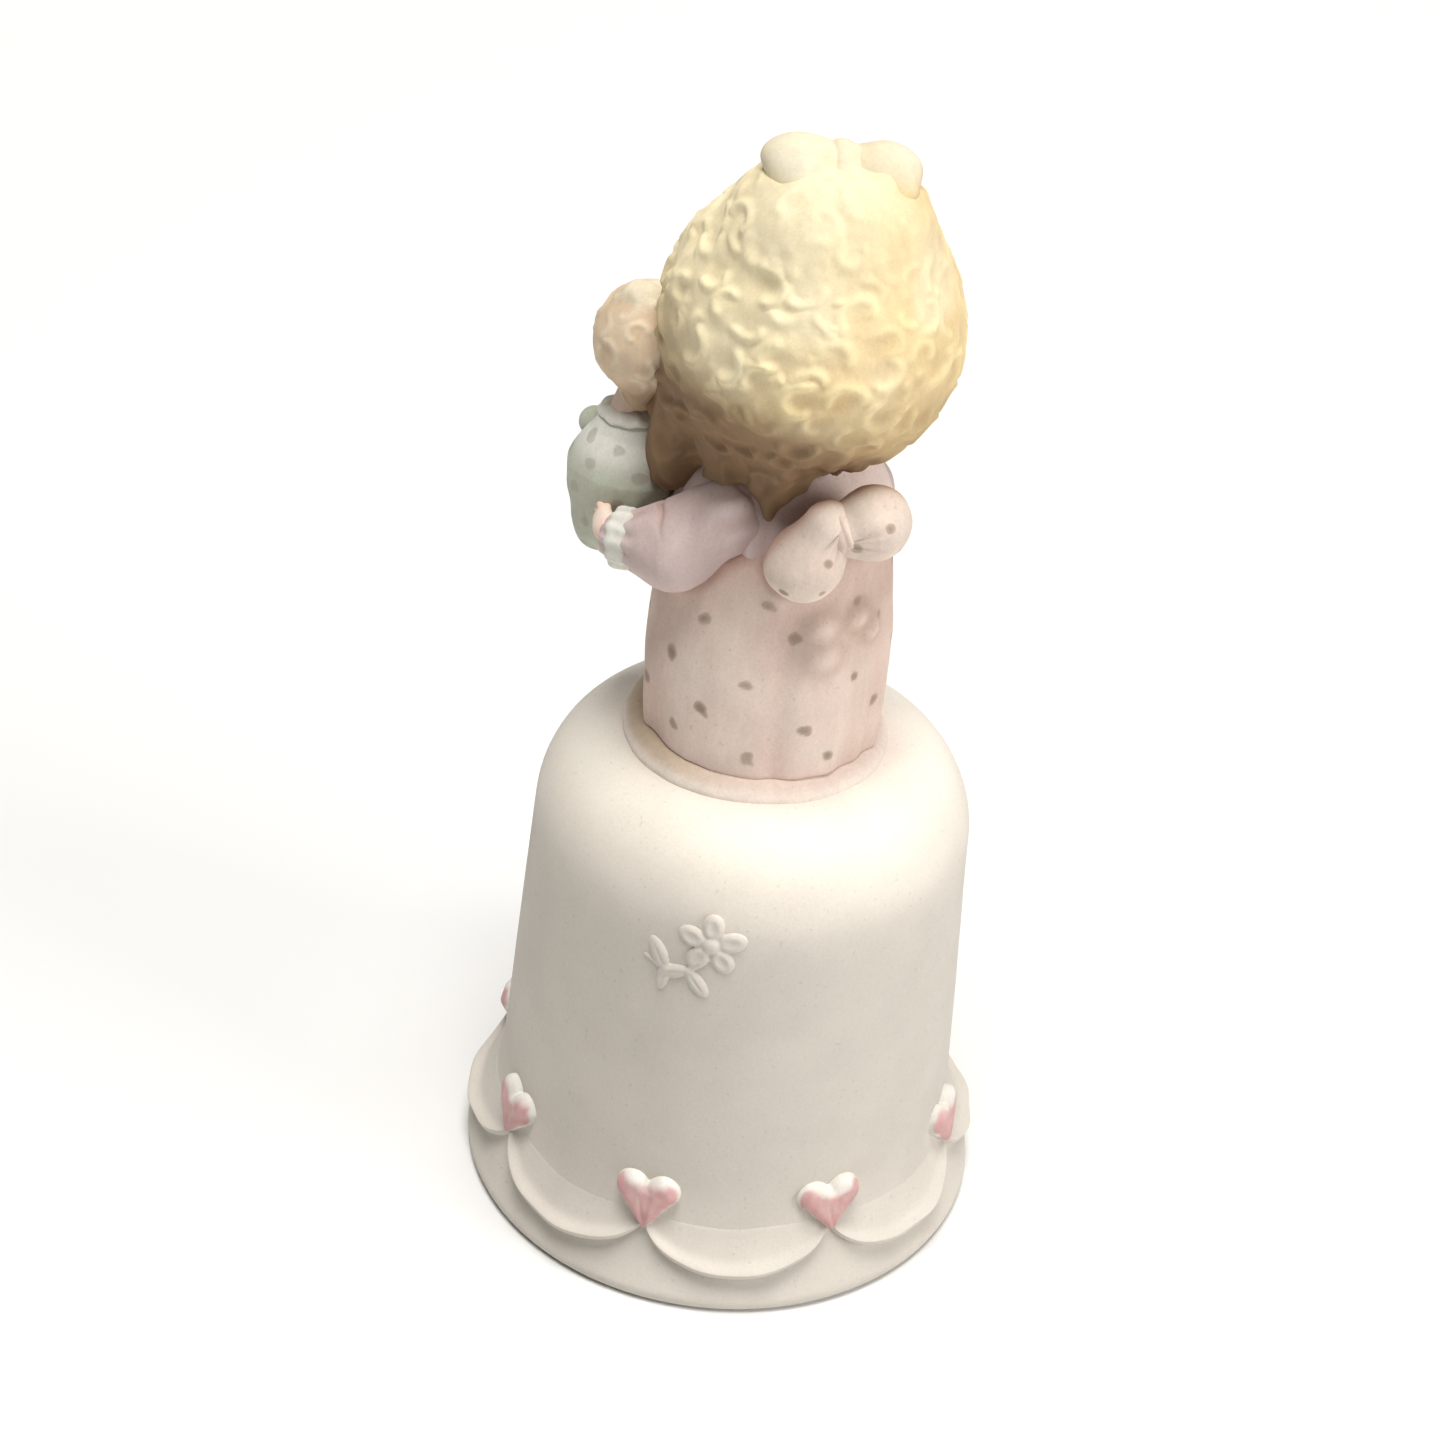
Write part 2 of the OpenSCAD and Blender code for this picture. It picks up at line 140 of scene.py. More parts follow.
def angles(count):
    """Even steps round a full turn."""
    return np.arange(count) * TAU / count


def rgb(r, g, b):
    """sRGB 0 to 255 as linear light."""
    c = np.array([r, g, b]) / 255
    return np.where(c <= 0.04045, c / 12.92, ((c + 0.055) / 1.055) ** 2.4)


def layered(base, *coats):
    """A colour with (colour, share) coats laid over it in turn."""
    for colour, share in coats:
        share = np.asarray(share)[..., None]
        base = base * (1 - share) + colour * share
    return base


def mottled(base, cloud, p, size, seed, share=0.3, swing=0.3):
    """A colour with clouds of another, about size across."""
    return layered(base, (cloud, np.clip(share + swing * noise(p, size, seed), 0, 1)))


# ---------------------------------------------------------------- solids from distance fields
class Field:
    """A grid of points in a box, on which distances to shapes are worked out. Negative is inside."""

    def __init__(self, low, high, cell):
        self.low, self.cell = np.asarray(low, float), cell
        count = np.ceil((np.asarray(high, float) - self.low) / cell).astype(int) + 1
        axes = [(self.low[k] + cell * np.arange(count[k])).astype(np.float32) for k in range(3)]
        self.x, self.y, self.z = np.meshgrid(*axes, indexing="ij", sparse=True)

    def ball(self, c, r):
        return np.sqrt((self.x - c[0]) ** 2 + (self.y - c[1]) ** 2 + (self.z - c[2]) ** 2) - r

    def egg(self, c, radii, axes=np.eye(3)):
        """Ellipsoid whose own axes are the rows of axes."""
        dx, dy, dz = self.x - c[0], self.y - c[1], self.z - c[2]
        near, far = 0, 0
        for k in range(3):
            q = (dx * axes[k][0] + dy * axes[k][1] + dz * axes[k][2]) / radii[k]
            near, far = near + q * q, far + (q / radii[k]) ** 2
        near = np.sqrt(near)
        return near * (near - 1) / np.sqrt(far + 1e-9)

    def bone(self, a, b, ra, rb):
        """Round-ended bar from a to b whose radius runs from ra to rb."""
        a, b = np.asarray(a, float), np.asarray(b, float)
        d = b - a
        dx, dy, dz = self.x - a[0], self.y - a[1], self.z - a[2]
        t = np.clip((dx * d[0] + dy * d[1] + dz * d[2]) / (d @ d), 0, 1)
        gap = np.sqrt((dx - t * d[0]) ** 2 + (dy - t * d[1]) ** 2 + (dz - t * d[2]) ** 2)
        return gap - (ra + t * (rb - ra))

    def chain(self, spots, radii, k):
        """Bones end to end, with a fillet about k wide between them."""
        links = [self.bone(*spots[i:i + 2], *radii[i:i + 2]) for i in range(len(spots) - 1)]
        d = links[0]
        for link in links[1:]:
            d = join(d, link, k)
        return d

    def half(self, c, n):
        """Solid on the side of c that n points away from."""
        n = unit(n)
        return (self.x - c[0]) * n[0] + (self.y - c[1]) * n[1] + (self.z - c[2]) * n[2]

    def surface(self, d):
        """(points, quads) of the zero surface of d."""
        grid = openvdb.FloatGrid(3.0)
        shape = (self.x.size, self.y.size, self.z.size)
        grid.copyFromArray(np.array(np.broadcast_to(d, shape), np.float32, order="C"))
        points, quads = grid.convertToQuads(0.0)
        return facing_out(self.low + np.asarray(points, float) * self.cell, np.asarray(quads, int))


def join(a, b, k):
    """Union of two fields with a fillet about k wide."""
    h = np.clip(0.5 + 0.5 * (b - a) / k, 0, 1)
    return b * (1 - h) + a * h - k * h * (1 - h)


def cut(a, b, k):
    """a less b with a softened edge."""
    return -join(-a, b, k)


# ---------------------------------------------------------------- meshes
def facing_out(p, quads):
    """The points and quads of a closed mesh, with the quads wound so that they face outward."""
    a, b, c, d = (p[quads[:, k]] for k in range(4))
    volume = np.einsum("ij,ij->", a, np.cross(b, c)) + np.einsum("ij,ij->", a, np.cross(c, d))
    return p, quads[:, ::-1] if volume < 0 else quads


def normals(p, quads):
    """Unit normal at each point."""
    n = np.zeros_like(p)
    across = np.cross(p[quads[:, 2]] - p[quads[:, 0]], p[quads[:, 3]] - p[quads[:, 1]])
    for k in range(4):
        np.add.at(n, quads[:, k], across)
    return n / np.maximum(np.linalg.norm(n, axis=1, keepdims=True), 1e-12)


def swell(p, quads, lift):
    """Points moved out of the surface by lift."""
    return p + normals(p, quads) * lift[:, None]


def relax(p, quads, rounds):
    """Evens out a mesh without shrinking it much."""
    for weight in (0.5, -0.52) * rounds:
        total, count = np.zeros_like(p), np.zeros(len(p))
        for k in range(4):
            np.add.at(total, quads[:, k], p[quads[:, (k + 1) % 4]] + p[quads[:, (k + 3) % 4]])
            np.add.at(count, quads[:, k], 2)
        p = p + weight * (total / count[:, None] - p)
    return p


def ring_mesh(rows, columns, closed=True):
    """Quads of a grid whose columns wrap round, and whose rows wrap too if closed."""
    r, c = np.meshgrid(np.arange(rows if closed else rows - 1), np.arange(columns), indexing="ij")
    here, above = r * columns, ((r + 1) % rows) * columns
    beside = (c + 1) % columns
    return np.stack([here + c, here + beside, above + beside, above + c], -1).reshape(-1, 4)


def tube(rings):
    """Capped tube through rings of points. The rings have an even number of points each."""
    count, around = rings.shape[:2]
    i = np.arange(around // 2 - 1)
    cap = np.stack([i, i + 1, around - 2 - i, around - 1 - i], -1)
    quads = np.concatenate([ring_mesh(count, around, False), cap[:, ::-1], cap + (count - 1) * around])
    return facing_out(rings.reshape(-1, 3), quads)


def hoop(r, z, centre=(0, 0)):
    """Closed ring. r and z have a row for each point of its section and a column for each step round."""
    r, z = np.broadcast_arrays(r, z)
    theta = angles(r.shape[1])
    p = np.stack([centre[0] + r * np.cos(theta), centre[1] + r * np.sin(theta), z], -1)
    return facing_out(p.reshape(-1, 3), ring_mesh(*r.shape))


def lathe(section, around):
    """Closed section of (radius, height) points turned about the Z axis."""
    return hoop(np.repeat(section[:, :1], around, 1), section[:, 1:])


def arc(c, r, a0, a1, n):
    """Points of an arc in a flat drawing, from a0 to a1 degrees."""
    a = np.radians(np.linspace(a0, a1, n))
    return np.stack([c[0] + r * np.cos(a), c[1] + r * np.sin(a)], 1)


def merge(parts):
    """Joins [(points, quads, tint), ...] into one."""
    starts = np.cumsum([0] + [len(p) for p, _, _ in parts])
    points = np.concatenate([p for p, _, _ in parts])
    quads = np.concatenate([quads + start for (_, quads, _), start in zip(parts, starts)])
    return points, quads, np.concatenate([np.broadcast_to(tint, p.shape) for p, _, tint in parts])


def make(name, node, p, quads, tint, material, slot, body="bell"):
    """A piece in place of a CAD node, from points, quads and linear colours per point."""
    mesh = bpy.data.meshes.new(name)
    mesh.vertices.add(len(p))
    mesh.vertices.foreach_set("co", (np.asarray(p) * MM).astype(np.float32).ravel())
    mesh.loops.add(quads.size)
    mesh.loops.foreach_set("vertex_index", quads.astype(np.int32).ravel())
    mesh.polygons.add(len(quads))
    mesh.polygons.foreach_set("loop_start", np.arange(len(quads), dtype=np.int32) * 4)
    mesh.update(calc_edges=True)
    mesh.validate()
    mesh.polygons.foreach_set("use_smooth", np.ones(len(mesh.polygons), bool))
    colours = np.ones((len(p), 4), np.float32)
    colours[:, :3] = np.clip(np.broadcast_to(tint, (len(p), 3)), 0, 1)
    mesh.color_attributes.new("tint", "FLOAT_COLOR", "POINT").data.foreach_set("color", colours.ravel())
    mesh.materials.append(material)
    o = bpy.data.objects.new(name, mesh)
    bpy.context.scene.collection.objects.link(o)
    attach(o, body)
    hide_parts(node)


# ---------------------------------------------------------------- materials
def noise_texture(tree, size, detail, stretch=(1, 1, 1)):
    """Output of a noise texture in the object's own coordinates whose lumps are about size across."""
    place = tree.nodes.new("ShaderNodeTexCoord").outputs["Object"]
    scaled = tree.nodes.new("ShaderNodeMapping")
    scaled.inputs["Scale"].default_value = stretch
    tree.links.new(place, scaled.inputs["Vector"])
    texture = tree.nodes.new("ShaderNodeTexNoise")
    texture.inputs["Scale"].default_value = 1 / (size * MM)
    texture.inputs["Detail"].default_value = detail
    tree.links.new(scaled.outputs["Vector"], texture.inputs["Vector"])
    return texture.outputs["Fac"]


def remap(tree, value, a, b, low, high):
    """Value mapped from a..b to low..high."""
    node = tree.nodes.new("ShaderNodeMapRange")
    for socket, number in (("From Min", a), ("From Max", b), ("To Min", low), ("To Max", high)):
        node.inputs[socket].default_value = number
    tree.links.new(value, node.inputs["Value"])
    return node.outputs["Result"]


def blank(name):
    """(material, its node tree, its Principled shader)."""
    m = bpy.data.materials.new(name)
    m.use_nodes = True
    return m, m.node_tree, m.node_tree.nodes["Principled BSDF"]


def bisque(name, rough=0.78, grain=1.0, tone=0.05, speck=0.0, brush=0.0):
    """Unglazed porcelain: the painted tint, a cloudy tone, specks, brush marks and a sandy grain."""
    m, tree, bsdf = blank(name)
    tint = tree.nodes.new("ShaderNodeAttribute")
    tint.attribute_name = "tint"
    shades = [
        remap(tree, noise_texture(tree, 7, 3), 0.3, 0.7, 1 - tone, 1 + tone * 0.4),
        remap(tree, noise_texture(tree, 0.32, 2), 0.3, 0.7, 1 - tone * 0.8, 1 + tone * 0.5),
    ]
    if brush:
        shades.append(remap(tree, noise_texture(tree, 1.1, 4, (1, 1, 0.35)), 0.35, 0.7, 1 - brush, 1))
    if speck:
        shades.append(remap(tree, noise_texture(tree, 0.55, 0), 0.76, 0.82, 1, 1 - speck))
    colour = tint.outputs["Color"]
    for shade in shades:
        times = tree.nodes.new("ShaderNodeMix")
        times.data_type, times.blend_type = "RGBA", "MULTIPLY"
        times.inputs["Factor"].default_value = 1
        tree.links.new(colour, times.inputs["A"])
        tree.links.new(shade, times.inputs["B"])
        colour = times.outputs["Result"]
    tree.links.new(colour, bsdf.inputs["Base Color"])
    roughness = remap(tree, noise_texture(tree, 1.6, 3), 0.3, 0.7, rough - 0.07, rough + 0.07)
    tree.links.new(roughness, bsdf.inputs["Roughness"])
    bsdf.inputs["Specular IOR Level"].default_value = 0.35
    normal = None
    for size, depth in ((0.16, 0.012), (0.9, 0.03)):
        relief = tree.nodes.new("ShaderNodeBump")
        relief.inputs["Strength"].default_value = 1
        relief.inputs["Distance"].default_value = depth * grain * MM
        tree.links.new(noise_texture(tree, size, 2), relief.inputs["Height"])
        if normal:
            tree.links.new(normal, relief.inputs["Normal"])
        normal = relief.outputs["Normal"]
    tree.links.new(normal, bsdf.inputs["Normal"])
    return m


def metal(name, colour, rough):
    """Bare wire with a cloudy tarnish."""
    m, tree, bsdf = blank(name)
    bsdf.inputs["Metallic"].default_value = 1
    tarnish = noise_texture(tree, 0.8, 4)
    tone = tree.nodes.new("ShaderNodeMix")
    tone.data_type = "RGBA"
    tone.inputs["A"].default_value = (*colour, 1)
    tone.inputs["B"].default_value = (*(0.6 * colour), 1)
    tree.links.new(tarnish, tone.inputs["Factor"])
    tree.links.new(tone.outputs["Result"], bsdf.inputs["Base Color"])
    tree.links.new(remap(tree, tarnish, 0, 1, rough - 0.08, rough + 0.12), bsdf.inputs["Roughness"])
    return m


CREAM = rgb(230, 223, 213)
WARM = rgb(240, 226, 208)
ROSE = rgb(241, 220, 208)
LILAC = rgb(214, 195, 192)
BOW = rgb(230, 213, 199)
BOW_SHADE = rgb(222, 192, 180)
DOT = rgb(172, 150, 132)
DOT_CORE = rgb(138, 118, 98)
SKIN = rgb(245, 219, 200)
BLONDE = rgb(248, 226, 174)
# the hair's colour in painted shade
BLONDE_IN_SHADE = rgb(214, 182, 134)
IVORY = rgb(232, 222, 196)
IVORY_GOLD = rgb(240, 222, 178)
WHITE = rgb(236, 234, 226)
GREEN = rgb(198, 202, 185)
PINK = rgb(212, 163, 161)

bell_bisque = bisque("bell_bisque", 0.82, 1.0, 0.045, 0.1)
dress_paint = bisque("dress_paint", 0.76, 0.9, 0.07, 0.12, 0.06)
hair_paint = bisque("hair_paint", 0.74, 0.8, 0.06, 0.0, 0.08)
skin_paint = bisque("skin_paint", 0.66, 0.5, 0.03)
doll_paint = bisque("doll_paint", 0.76, 0.9, 0.07, 0.1, 0.08)
heart_paint = bisque("heart_paint", 0.7, 0.8, 0.06, 0.0, 0.1)
cement_paint = bisque("cement_paint", 0.9, 3.0, 0.14, 0.3)
steel_wire = metal("steel_wire", rgb(168, 166, 162), 0.3)

# ---------------------------------------------------------------- bell
SHOULDER_R, CORNER_R, WALL_T, FLARE_Z, LIP_R = 26.0, 12.8, 3.0, 16.0, 1.4
FOOT_R = SHOULDER_R + 1.9
MOUTH_R = RIM_R - 3.2
BOSS_R, BOSS_DROP = 5.0, 4.5
SOCKET_R, SOCKET_DEPTH, HOLE_R = 2.2, 1.6, 1.2
EDGE_R = 0.6
corner = np.array([SHOULDER_R - CORNER_R, CROWN_Z - CORNER_R])
taper = math.degrees(math.atan2(FOOT_R - SHOULDER_R, corner[1] - FLARE_Z))
wall_n = np.array([math.cos(math.radians(taper)), math.sin(math.radians(taper))])
lip = np.array([RIM_R - LIP_R, LIP_R])
foot = np.array([FOOT_R, FLARE_Z])
reach = foot - lip
FLARE_R = (reach @ reach - LIP_R**2) / (2 * (LIP_R - reach @ wall_n))
flare = foot + FLARE_R * wall_n
flare_a = math.degrees(math.atan2(flare[1] - lip[1], flare[0] - lip[0]))
mouth_a = math.degrees(math.acos((flare[0] - MOUTH_R) / (FLARE_R + WALL_T)))

outer = np.concatenate([
    arc(lip, LIP_R, -90, flare_a, 9)[:-1],
    arc(flare, FLARE_R, 180 + flare_a, 180 + taper, 46)[:-1],
    np.linspace(foot, corner + CORNER_R * wall_n, 26)[:-1],
    arc(corner, CORNER_R, taper, 90, 26),
])
length = np.concatenate([[0], np.cumsum(np.linalg.norm(np.diff(outer, axis=0), axis=1))])
tangent = unit(np.gradient(outer, axis=0))
outward = np.stack([tangent[:, 1], -tangent[:, 0]], 1)


def on_wall(theta, s, lift=0.0):
    """Points on the bell's outside at angle theta and distance s up the profile, lifted off it."""
    r, z = np.interp(s, length, outer[:, 0]), np.interp(s, length, outer[:, 1])
    nr, nz = np.interp(s, length, outward[:, 0]), np.interp(s, length, outward[:, 1])
    r = r + lift * nr
    return np.stack([r * np.cos(theta), r * np.sin(theta), z + lift * nz], -1)


def height_to_length(z):
    """Distance up the profile at height z."""
    first = np.argmax(outer[:, 1] > 0.5)
    return np.interp(z, outer[first:, 1], length[first:])


def laid_on_wall(q, theta, z, bend_r):
    """A flat relief (x sideways, y up, z out) bent to radius bend_r and laid on the wall."""
    s, little = height_to_length(z), 0.2
    upward = unit(on_wall(theta, s + little) - on_wall(theta, s - little))
    side = level(theta)[1]
    lift = q[:, [2]] - q[:, [0]] ** 2 / (2 * bend_r)
    return on_wall(theta, s) + q[:, [0]] * side + q[:, [1]] * upward + lift * np.cross(side, upward)


def bell_tint(p):
    """Cream bisque, warmer upward, with painted shade greying the wall, painted light on the crown and a rose
    wash round the dress.
    """
    beside = np.maximum(np.hypot(p[:, 0] - PLINTH[0], p[:, 1] - PLINTH[1]) - HEM_R - 0.4, 0)
    wash = 0.6 * bump(beside, 1.6 + 0.8 * noise(p, 5, 3)) * step(CROWN_Z - 4, CROWN_Z - 0.5, p[:, 2])
    tint = layered(
        CREAM,
        (WARM, 0.35 * step(CROWN_Z - 16, CROWN_Z, p[:, 2])),
        # painted shade greys the wall below the crown, and painted light brightens the crown
        (rgb(204, 197, 187), 0.75 * step(CROWN_Z - 5, CROWN_Z - 17, p[:, 2])),
        (rgb(250, 244, 232), 0.7 * step(CROWN_Z - 7, CROWN_Z - 1.5, p[:, 2])),
        (ROSE, wash),
    )
    return tint * (1 + 0.02 * noise(p, 9, 4))[:, None]


def build_bell():
    """The bell's wall in one turned section: outside, crown, boss with the eye's socket, inside and mouth."""
    crown_in = CROWN_Z - WALL_T
    boss_z = crown_in - BOSS_DROP
    inside = np.concatenate([
        [[SOCKET_R, CROWN_Z - SOCKET_DEPTH], [SOCKET_R, boss_z + 0.2]],
        [[SOCKET_R + 0.2, boss_z], [BOSS_R - EDGE_R, boss_z]],
        arc((BOSS_R - EDGE_R, boss_z + EDGE_R), EDGE_R, -90, 0, 5)[1:],
        [[BOSS_R, crown_in - 0.8]],
        arc((BOSS_R + 0.8, crown_in - 0.8), 0.8, 180, 90, 6)[1:],
        arc(corner, CORNER_R - WALL_T, 90, taper, 16),
        np.linspace(corner + (CORNER_R - WALL_T) * wall_n, foot - WALL_T * wall_n, 12)[1:-1],
        arc(flare, FLARE_R + WALL_T, 180 + taper, 180 + mouth_a, 16),
        [[MOUTH_R, 0.35], [MOUTH_R + 0.35, 0]],
    ])
    top = [[r, CROWN_Z] for r in np.linspace(corner[0], HOLE_R, 7)[1:]] + [[HOLE_R, CROWN_Z - SOCKET_DEPTH]]
    p, quads = lathe(np.concatenate([outer, top, inside]), 576)
    p = swell(p, quads, step(0.5, 3, p[:, 2]) * (0.07 * noise(p, 15, 1) + 0.03 * noise(p, 5, 2)))
    make("bell_wall", "bell_shell", p, quads, bell_tint(p), bell_bisque, "bell_bisque")


# ---------------------------------------------------------------- swags, hearts and blossom
BAYS = 8
SWAG_TOP, SWAG_DROP = 10.9, 5.2
HEART_Z = 13.4


def build_swags():
    """Each swag is a thin drape of clay with a rolled lower edge. It feathers out into the wall above."""
    columns, under, over, back = 90, 12, 34, 8
    x = np.linspace(-0.985, 0.985, columns)
    lip_s = height_to_length(SWAG_TOP - SWAG_DROP * (1 - np.abs(x) ** 2.3) ** 0.62)
    rise = 2.1 * (1 - 0.7 * np.abs(x) ** 3)
    upward = 4.6 * (1 - np.abs(x) ** 2.6) ** 0.8 + 1.8
    edge = 0.95 * (1 - 0.45 * np.abs(x) ** 3)
    parts = []
    for bay in range(BAYS):
        pick = np.random.default_rng(40 + bay)
        theta = (bay + 0.5 + 0.5 * x) * TAU / BAYS
        s0 = lip_s + 0.12 * np.sin(3 * x + pick.uniform(0, TAU)) + 0.06 * np.sin(7 * x + pick.uniform(0, TAU))
        hand = 1 + 0.07 * np.sin(5 * x + pick.uniform(0, TAU)) + 0.05 * np.sin(11 * x + pick.uniform(0, TAU))
        rows = []
        for t in np.linspace(-1, 0, under, endpoint=False):
            d = edge * math.sin(t * math.pi / 2)
            rows.append((s0 + d, rise * hand * np.sqrt(np.clip(1 - (d / edge) ** 2, 0, 1)) - 0.12))
        for t in np.linspace(0, 1, over):
            d = upward * t**1.25
            swollen = 0.4 * bump(d, 0.85) + 0.6 * (1 - t**1.25) ** 1.3
            sunk = (0.12 + 0.3 * step(0.8, 1, t)) * (1 - bump(d, 0.7))
            rows.append((s0 + d, rise * swollen * hand - sunk))
        for t in np.linspace(1, 0, back):
            rows.append((s0 + (upward + edge) * t - edge, -0.5))
        rings = np.stack([on_wall(theta, s, lift) for s, lift in rows], 1)
        # painted shade: the swags are tinted a greyer cream so that they read darker
        parts.append((*tube(rings), layered(CREAM, (rgb(205, 198, 188), 0.7))))
    make("swag_drapes", "swag_sprigs", *merge(parts), bell_bisque, "bell_bisque")


def heart_mesh():
    """A flat heart with soft edges, its point down."""
    lobe, spread, tall, soft_edge, lobe_y, size = 2.05, 1.85, 1.7, 1.25, 1.35, 5.2
    f = Field((-size, -5.4, -1.8), (size, 5.4, 3.0), 0.12)
    flat = Field((-size, -5.4, 0), (size, 5.4, 0), 0.12)
    arms = [flat.bone((side * spread, lobe_y, 0), (side * 0.1, -3.5, 0), lobe, 0.35) for side in (-1, 1)]
    fill = flat.half((0, 2.3, 0), (0, 1, 0))
    for side in (-1, 1):
        fill = np.maximum(fill, flat.half((side * spread, lobe_y, 0), (side * 4.85, -1.85, 0)))
    wall = join(join(*arms, 0.2), fill, 0.3) + soft_edge
    cap = f.z - tall + soft_edge
    d = np.minimum(np.maximum(wall, cap), 0) + np.hypot(np.maximum(wall, 0), np.maximum(cap, 0)) - soft_edge
    p, quads = f.surface(np.maximum(d, -1.5 - f.z))
    return relax(p, quads, 2), quads


def build_hearts():
    base, quads = heart_mesh()
    parts = []
    for k in range(BAYS):
        pick = np.random.default_rng(60 + k)
        theta = k * TAU / BAYS + pick.uniform(-0.01, 0.01)
        turn = pick.uniform(-0.09, 0.09)
        q = base * (pick.uniform(0.96, 1.03), pick.uniform(0.96, 1.03), 1)
        q = swell(q, quads, 0.07 * noise(q + 30 * k, 1.8, 5))
        tilted = turned(q, np.zeros(3), turn)
        front = step(0.5, 1.2, q[:, 2] + 0.2 * noise(q + 9 * k, 1.2, 6))
        height = tilted[:, 1] - 0.12 * tilted[:, 0] ** 2 + 0.45 * noise(q + 7 * k, 1.6, 7)
        share = front * (0.12 + 0.88 * step(2.6, 1.2, height)) * (0.92 + 0.08 * noise(q, 0.8, 8))
        parts.append((laid_on_wall(tilted, theta, HEART_Z, FOOT_R), quads, layered(WHITE, (PINK, share))))
    make("hearts", "heart_sprigs", *merge(parts), heart_paint, "heart_paint")


def build_blossom():
    """A raised line drawing of a five-petalled flower on a leafy stalk."""
    node = middle("blossom_sprig")
    f = Field((-8, -6.5, -1.2), (8, 6.5, 1.6), 0.14)
    flower = np.array([1.6, 1.5, 0])
    d = f.egg(flower, (1.15, 1.15, 0.75))
    for k in range(5):
        rows = level(math.radians(90 + 72 * k))
        c = flower + 2.45 * rows[0]
        petal = f.egg(c, (1.75, 1.3, 0.62), rows)
        petal = cut(petal, f.egg(c + 0.75 * UP, (1.15, 0.72, 0.42), rows), 0.25)
        d = join(d, petal, 0.25)
    stalk = np.array([(1.2, -0.6, 0), (-0.8, -2.6, 0), (-3.4, -3.2, 0), (-6.0, -2.2, 0)])
    d = join(d, f.chain(stalk, [0.42, 0.42, 0.38, 0.3], 0.3), 0.3)
    for joint, a, size in ((1, 200, 1.0), (2, 118, 1.15), (1, -52, 1.05), (2, 258, 0.8)):
        rows = level(math.radians(a))
        c = stalk[joint] + 1.9 * size * rows[0]
        vein = c + 0.62 * UP
        leaf = f.egg(c, (2.0 * size, 0.95 * size, 0.6), rows)
        leaf = cut(leaf, f.bone(vein - 1.3 * size * rows[0], vein + 1.3 * size * rows[0], 0.2, 0.1), 0.2)
        d = join(d, leaf, 0.25)
    q, quads = f.surface(d)
    p = laid_on_wall(relax(q, quads, 1), math.atan2(node[1], node[0]), node[2], SHOULDER_R)
    make("blossom", "blossom_sprig", p, quads, bell_tint(p), bell_bisque, "bell_bisque")


# ---------------------------------------------------------------- dress
GOLDEN = 0.618


def dots(p, spots, size, seed):
    """Shares of dot paint and of its dark core at each point, for irregular dots round the spots."""
    body, core = np.zeros(len(p)), np.zeros(len(p))
    ragged = 0.32 * noise(p, 0.9, seed)
    for k, spot in enumerate(spots):
        r = size * (0.82 + 0.36 * ((k * GOLDEN) % 1))
        d = np.linalg.norm((p - spot), axis=1) / r + ragged
        body = np.maximum(body, step(1.12, 0.8, d))
        core = np.maximum(core, step(0.85, 0.2, d) * (0.35 + 0.65 * ((k * 0.37) % 1)))
    return body, core


def dotted(tint, p, spots, size, seed):
    """The tint with dots painted on it round the spots."""
    body, core = dots(p, spots, size, seed)
    return layered(tint, (DOT, 0.72 * body), (DOT_CORE, 0.6 * core))


SKIRT_RISE = WAIST_Z + 0.6 - HEM_Z
SKIRT_FOLDS, SKIRT_SIDES = 11, 8
# little puffs below the back bow: degrees round the skirt, height, how far out, width
GATHERS = ((106, 87.2, 0.9, 1.5), (116, 84.8, 0.8, 1.3), (86, 86.8, 0.7, 1.7), (88, 83.2, 0.6, 1.8))


def skirt_radius(theta, t):
    """Radius of the skirt at share t of its height: soft folds that deepen towards the hem."""
    r = HEM_R - 0.45 + 0.55 * bump(t - 0.3, 0.28) - 0.9 * step(0.35, 1, t)
    deep = 0.3 + 0.7 * (1 - t) ** 1.2
    folds = np.random.default_rng(12)
    for k in range(SKIRT_FOLDS):
        a = (k + folds.uniform(-0.3, 0.3)) * TAU / SKIRT_FOLDS
        wide = folds.uniform(0.09, 0.17)
        d = (theta - a + math.pi) % TAU - math.pi
        r = r - deep * (folds.uniform(0.08, 0.34) * bump(d, wide) - 0.12 * bump(d - 2 * wide, wide))
    half_side = math.pi / SKIRT_SIDES
    a = (theta + 0.14 * np.sin(2 * theta + 1) + 0.1 * np.sin(3 * theta) + 0.1) % (2 * half_side) - half_side
    return r * (1 + 0.4 * deep * (math.cos(half_side) / np.cos(a) - 1) + 0.015 * deep)


def on_skirt(angle, z):
    """Point on the skirt at an angle round it and a height."""
    return SKIRT_C * (1, 1, 0) + skirt_radius(angle, (z - HEM_Z) / SKIRT_RISE) * level(angle)[0] + z * UP


def gap_to(p, line, radii):
    """Distance from each point to the skin of a rod of balls."""
    best = np.full(len(p), 99.0)
    for a, b, ra, rb in zip(line[:-1], line[1:], radii[:-1], radii[1:]):
        t = np.clip((p - a) @ (b - a) / ((b - a) @ (b - a)), 0, 1)
        best = np.minimum(best, np.linalg.norm(p - a - t[:, None] * (b - a), axis=1) - ra - t * (rb - ra))
    return best


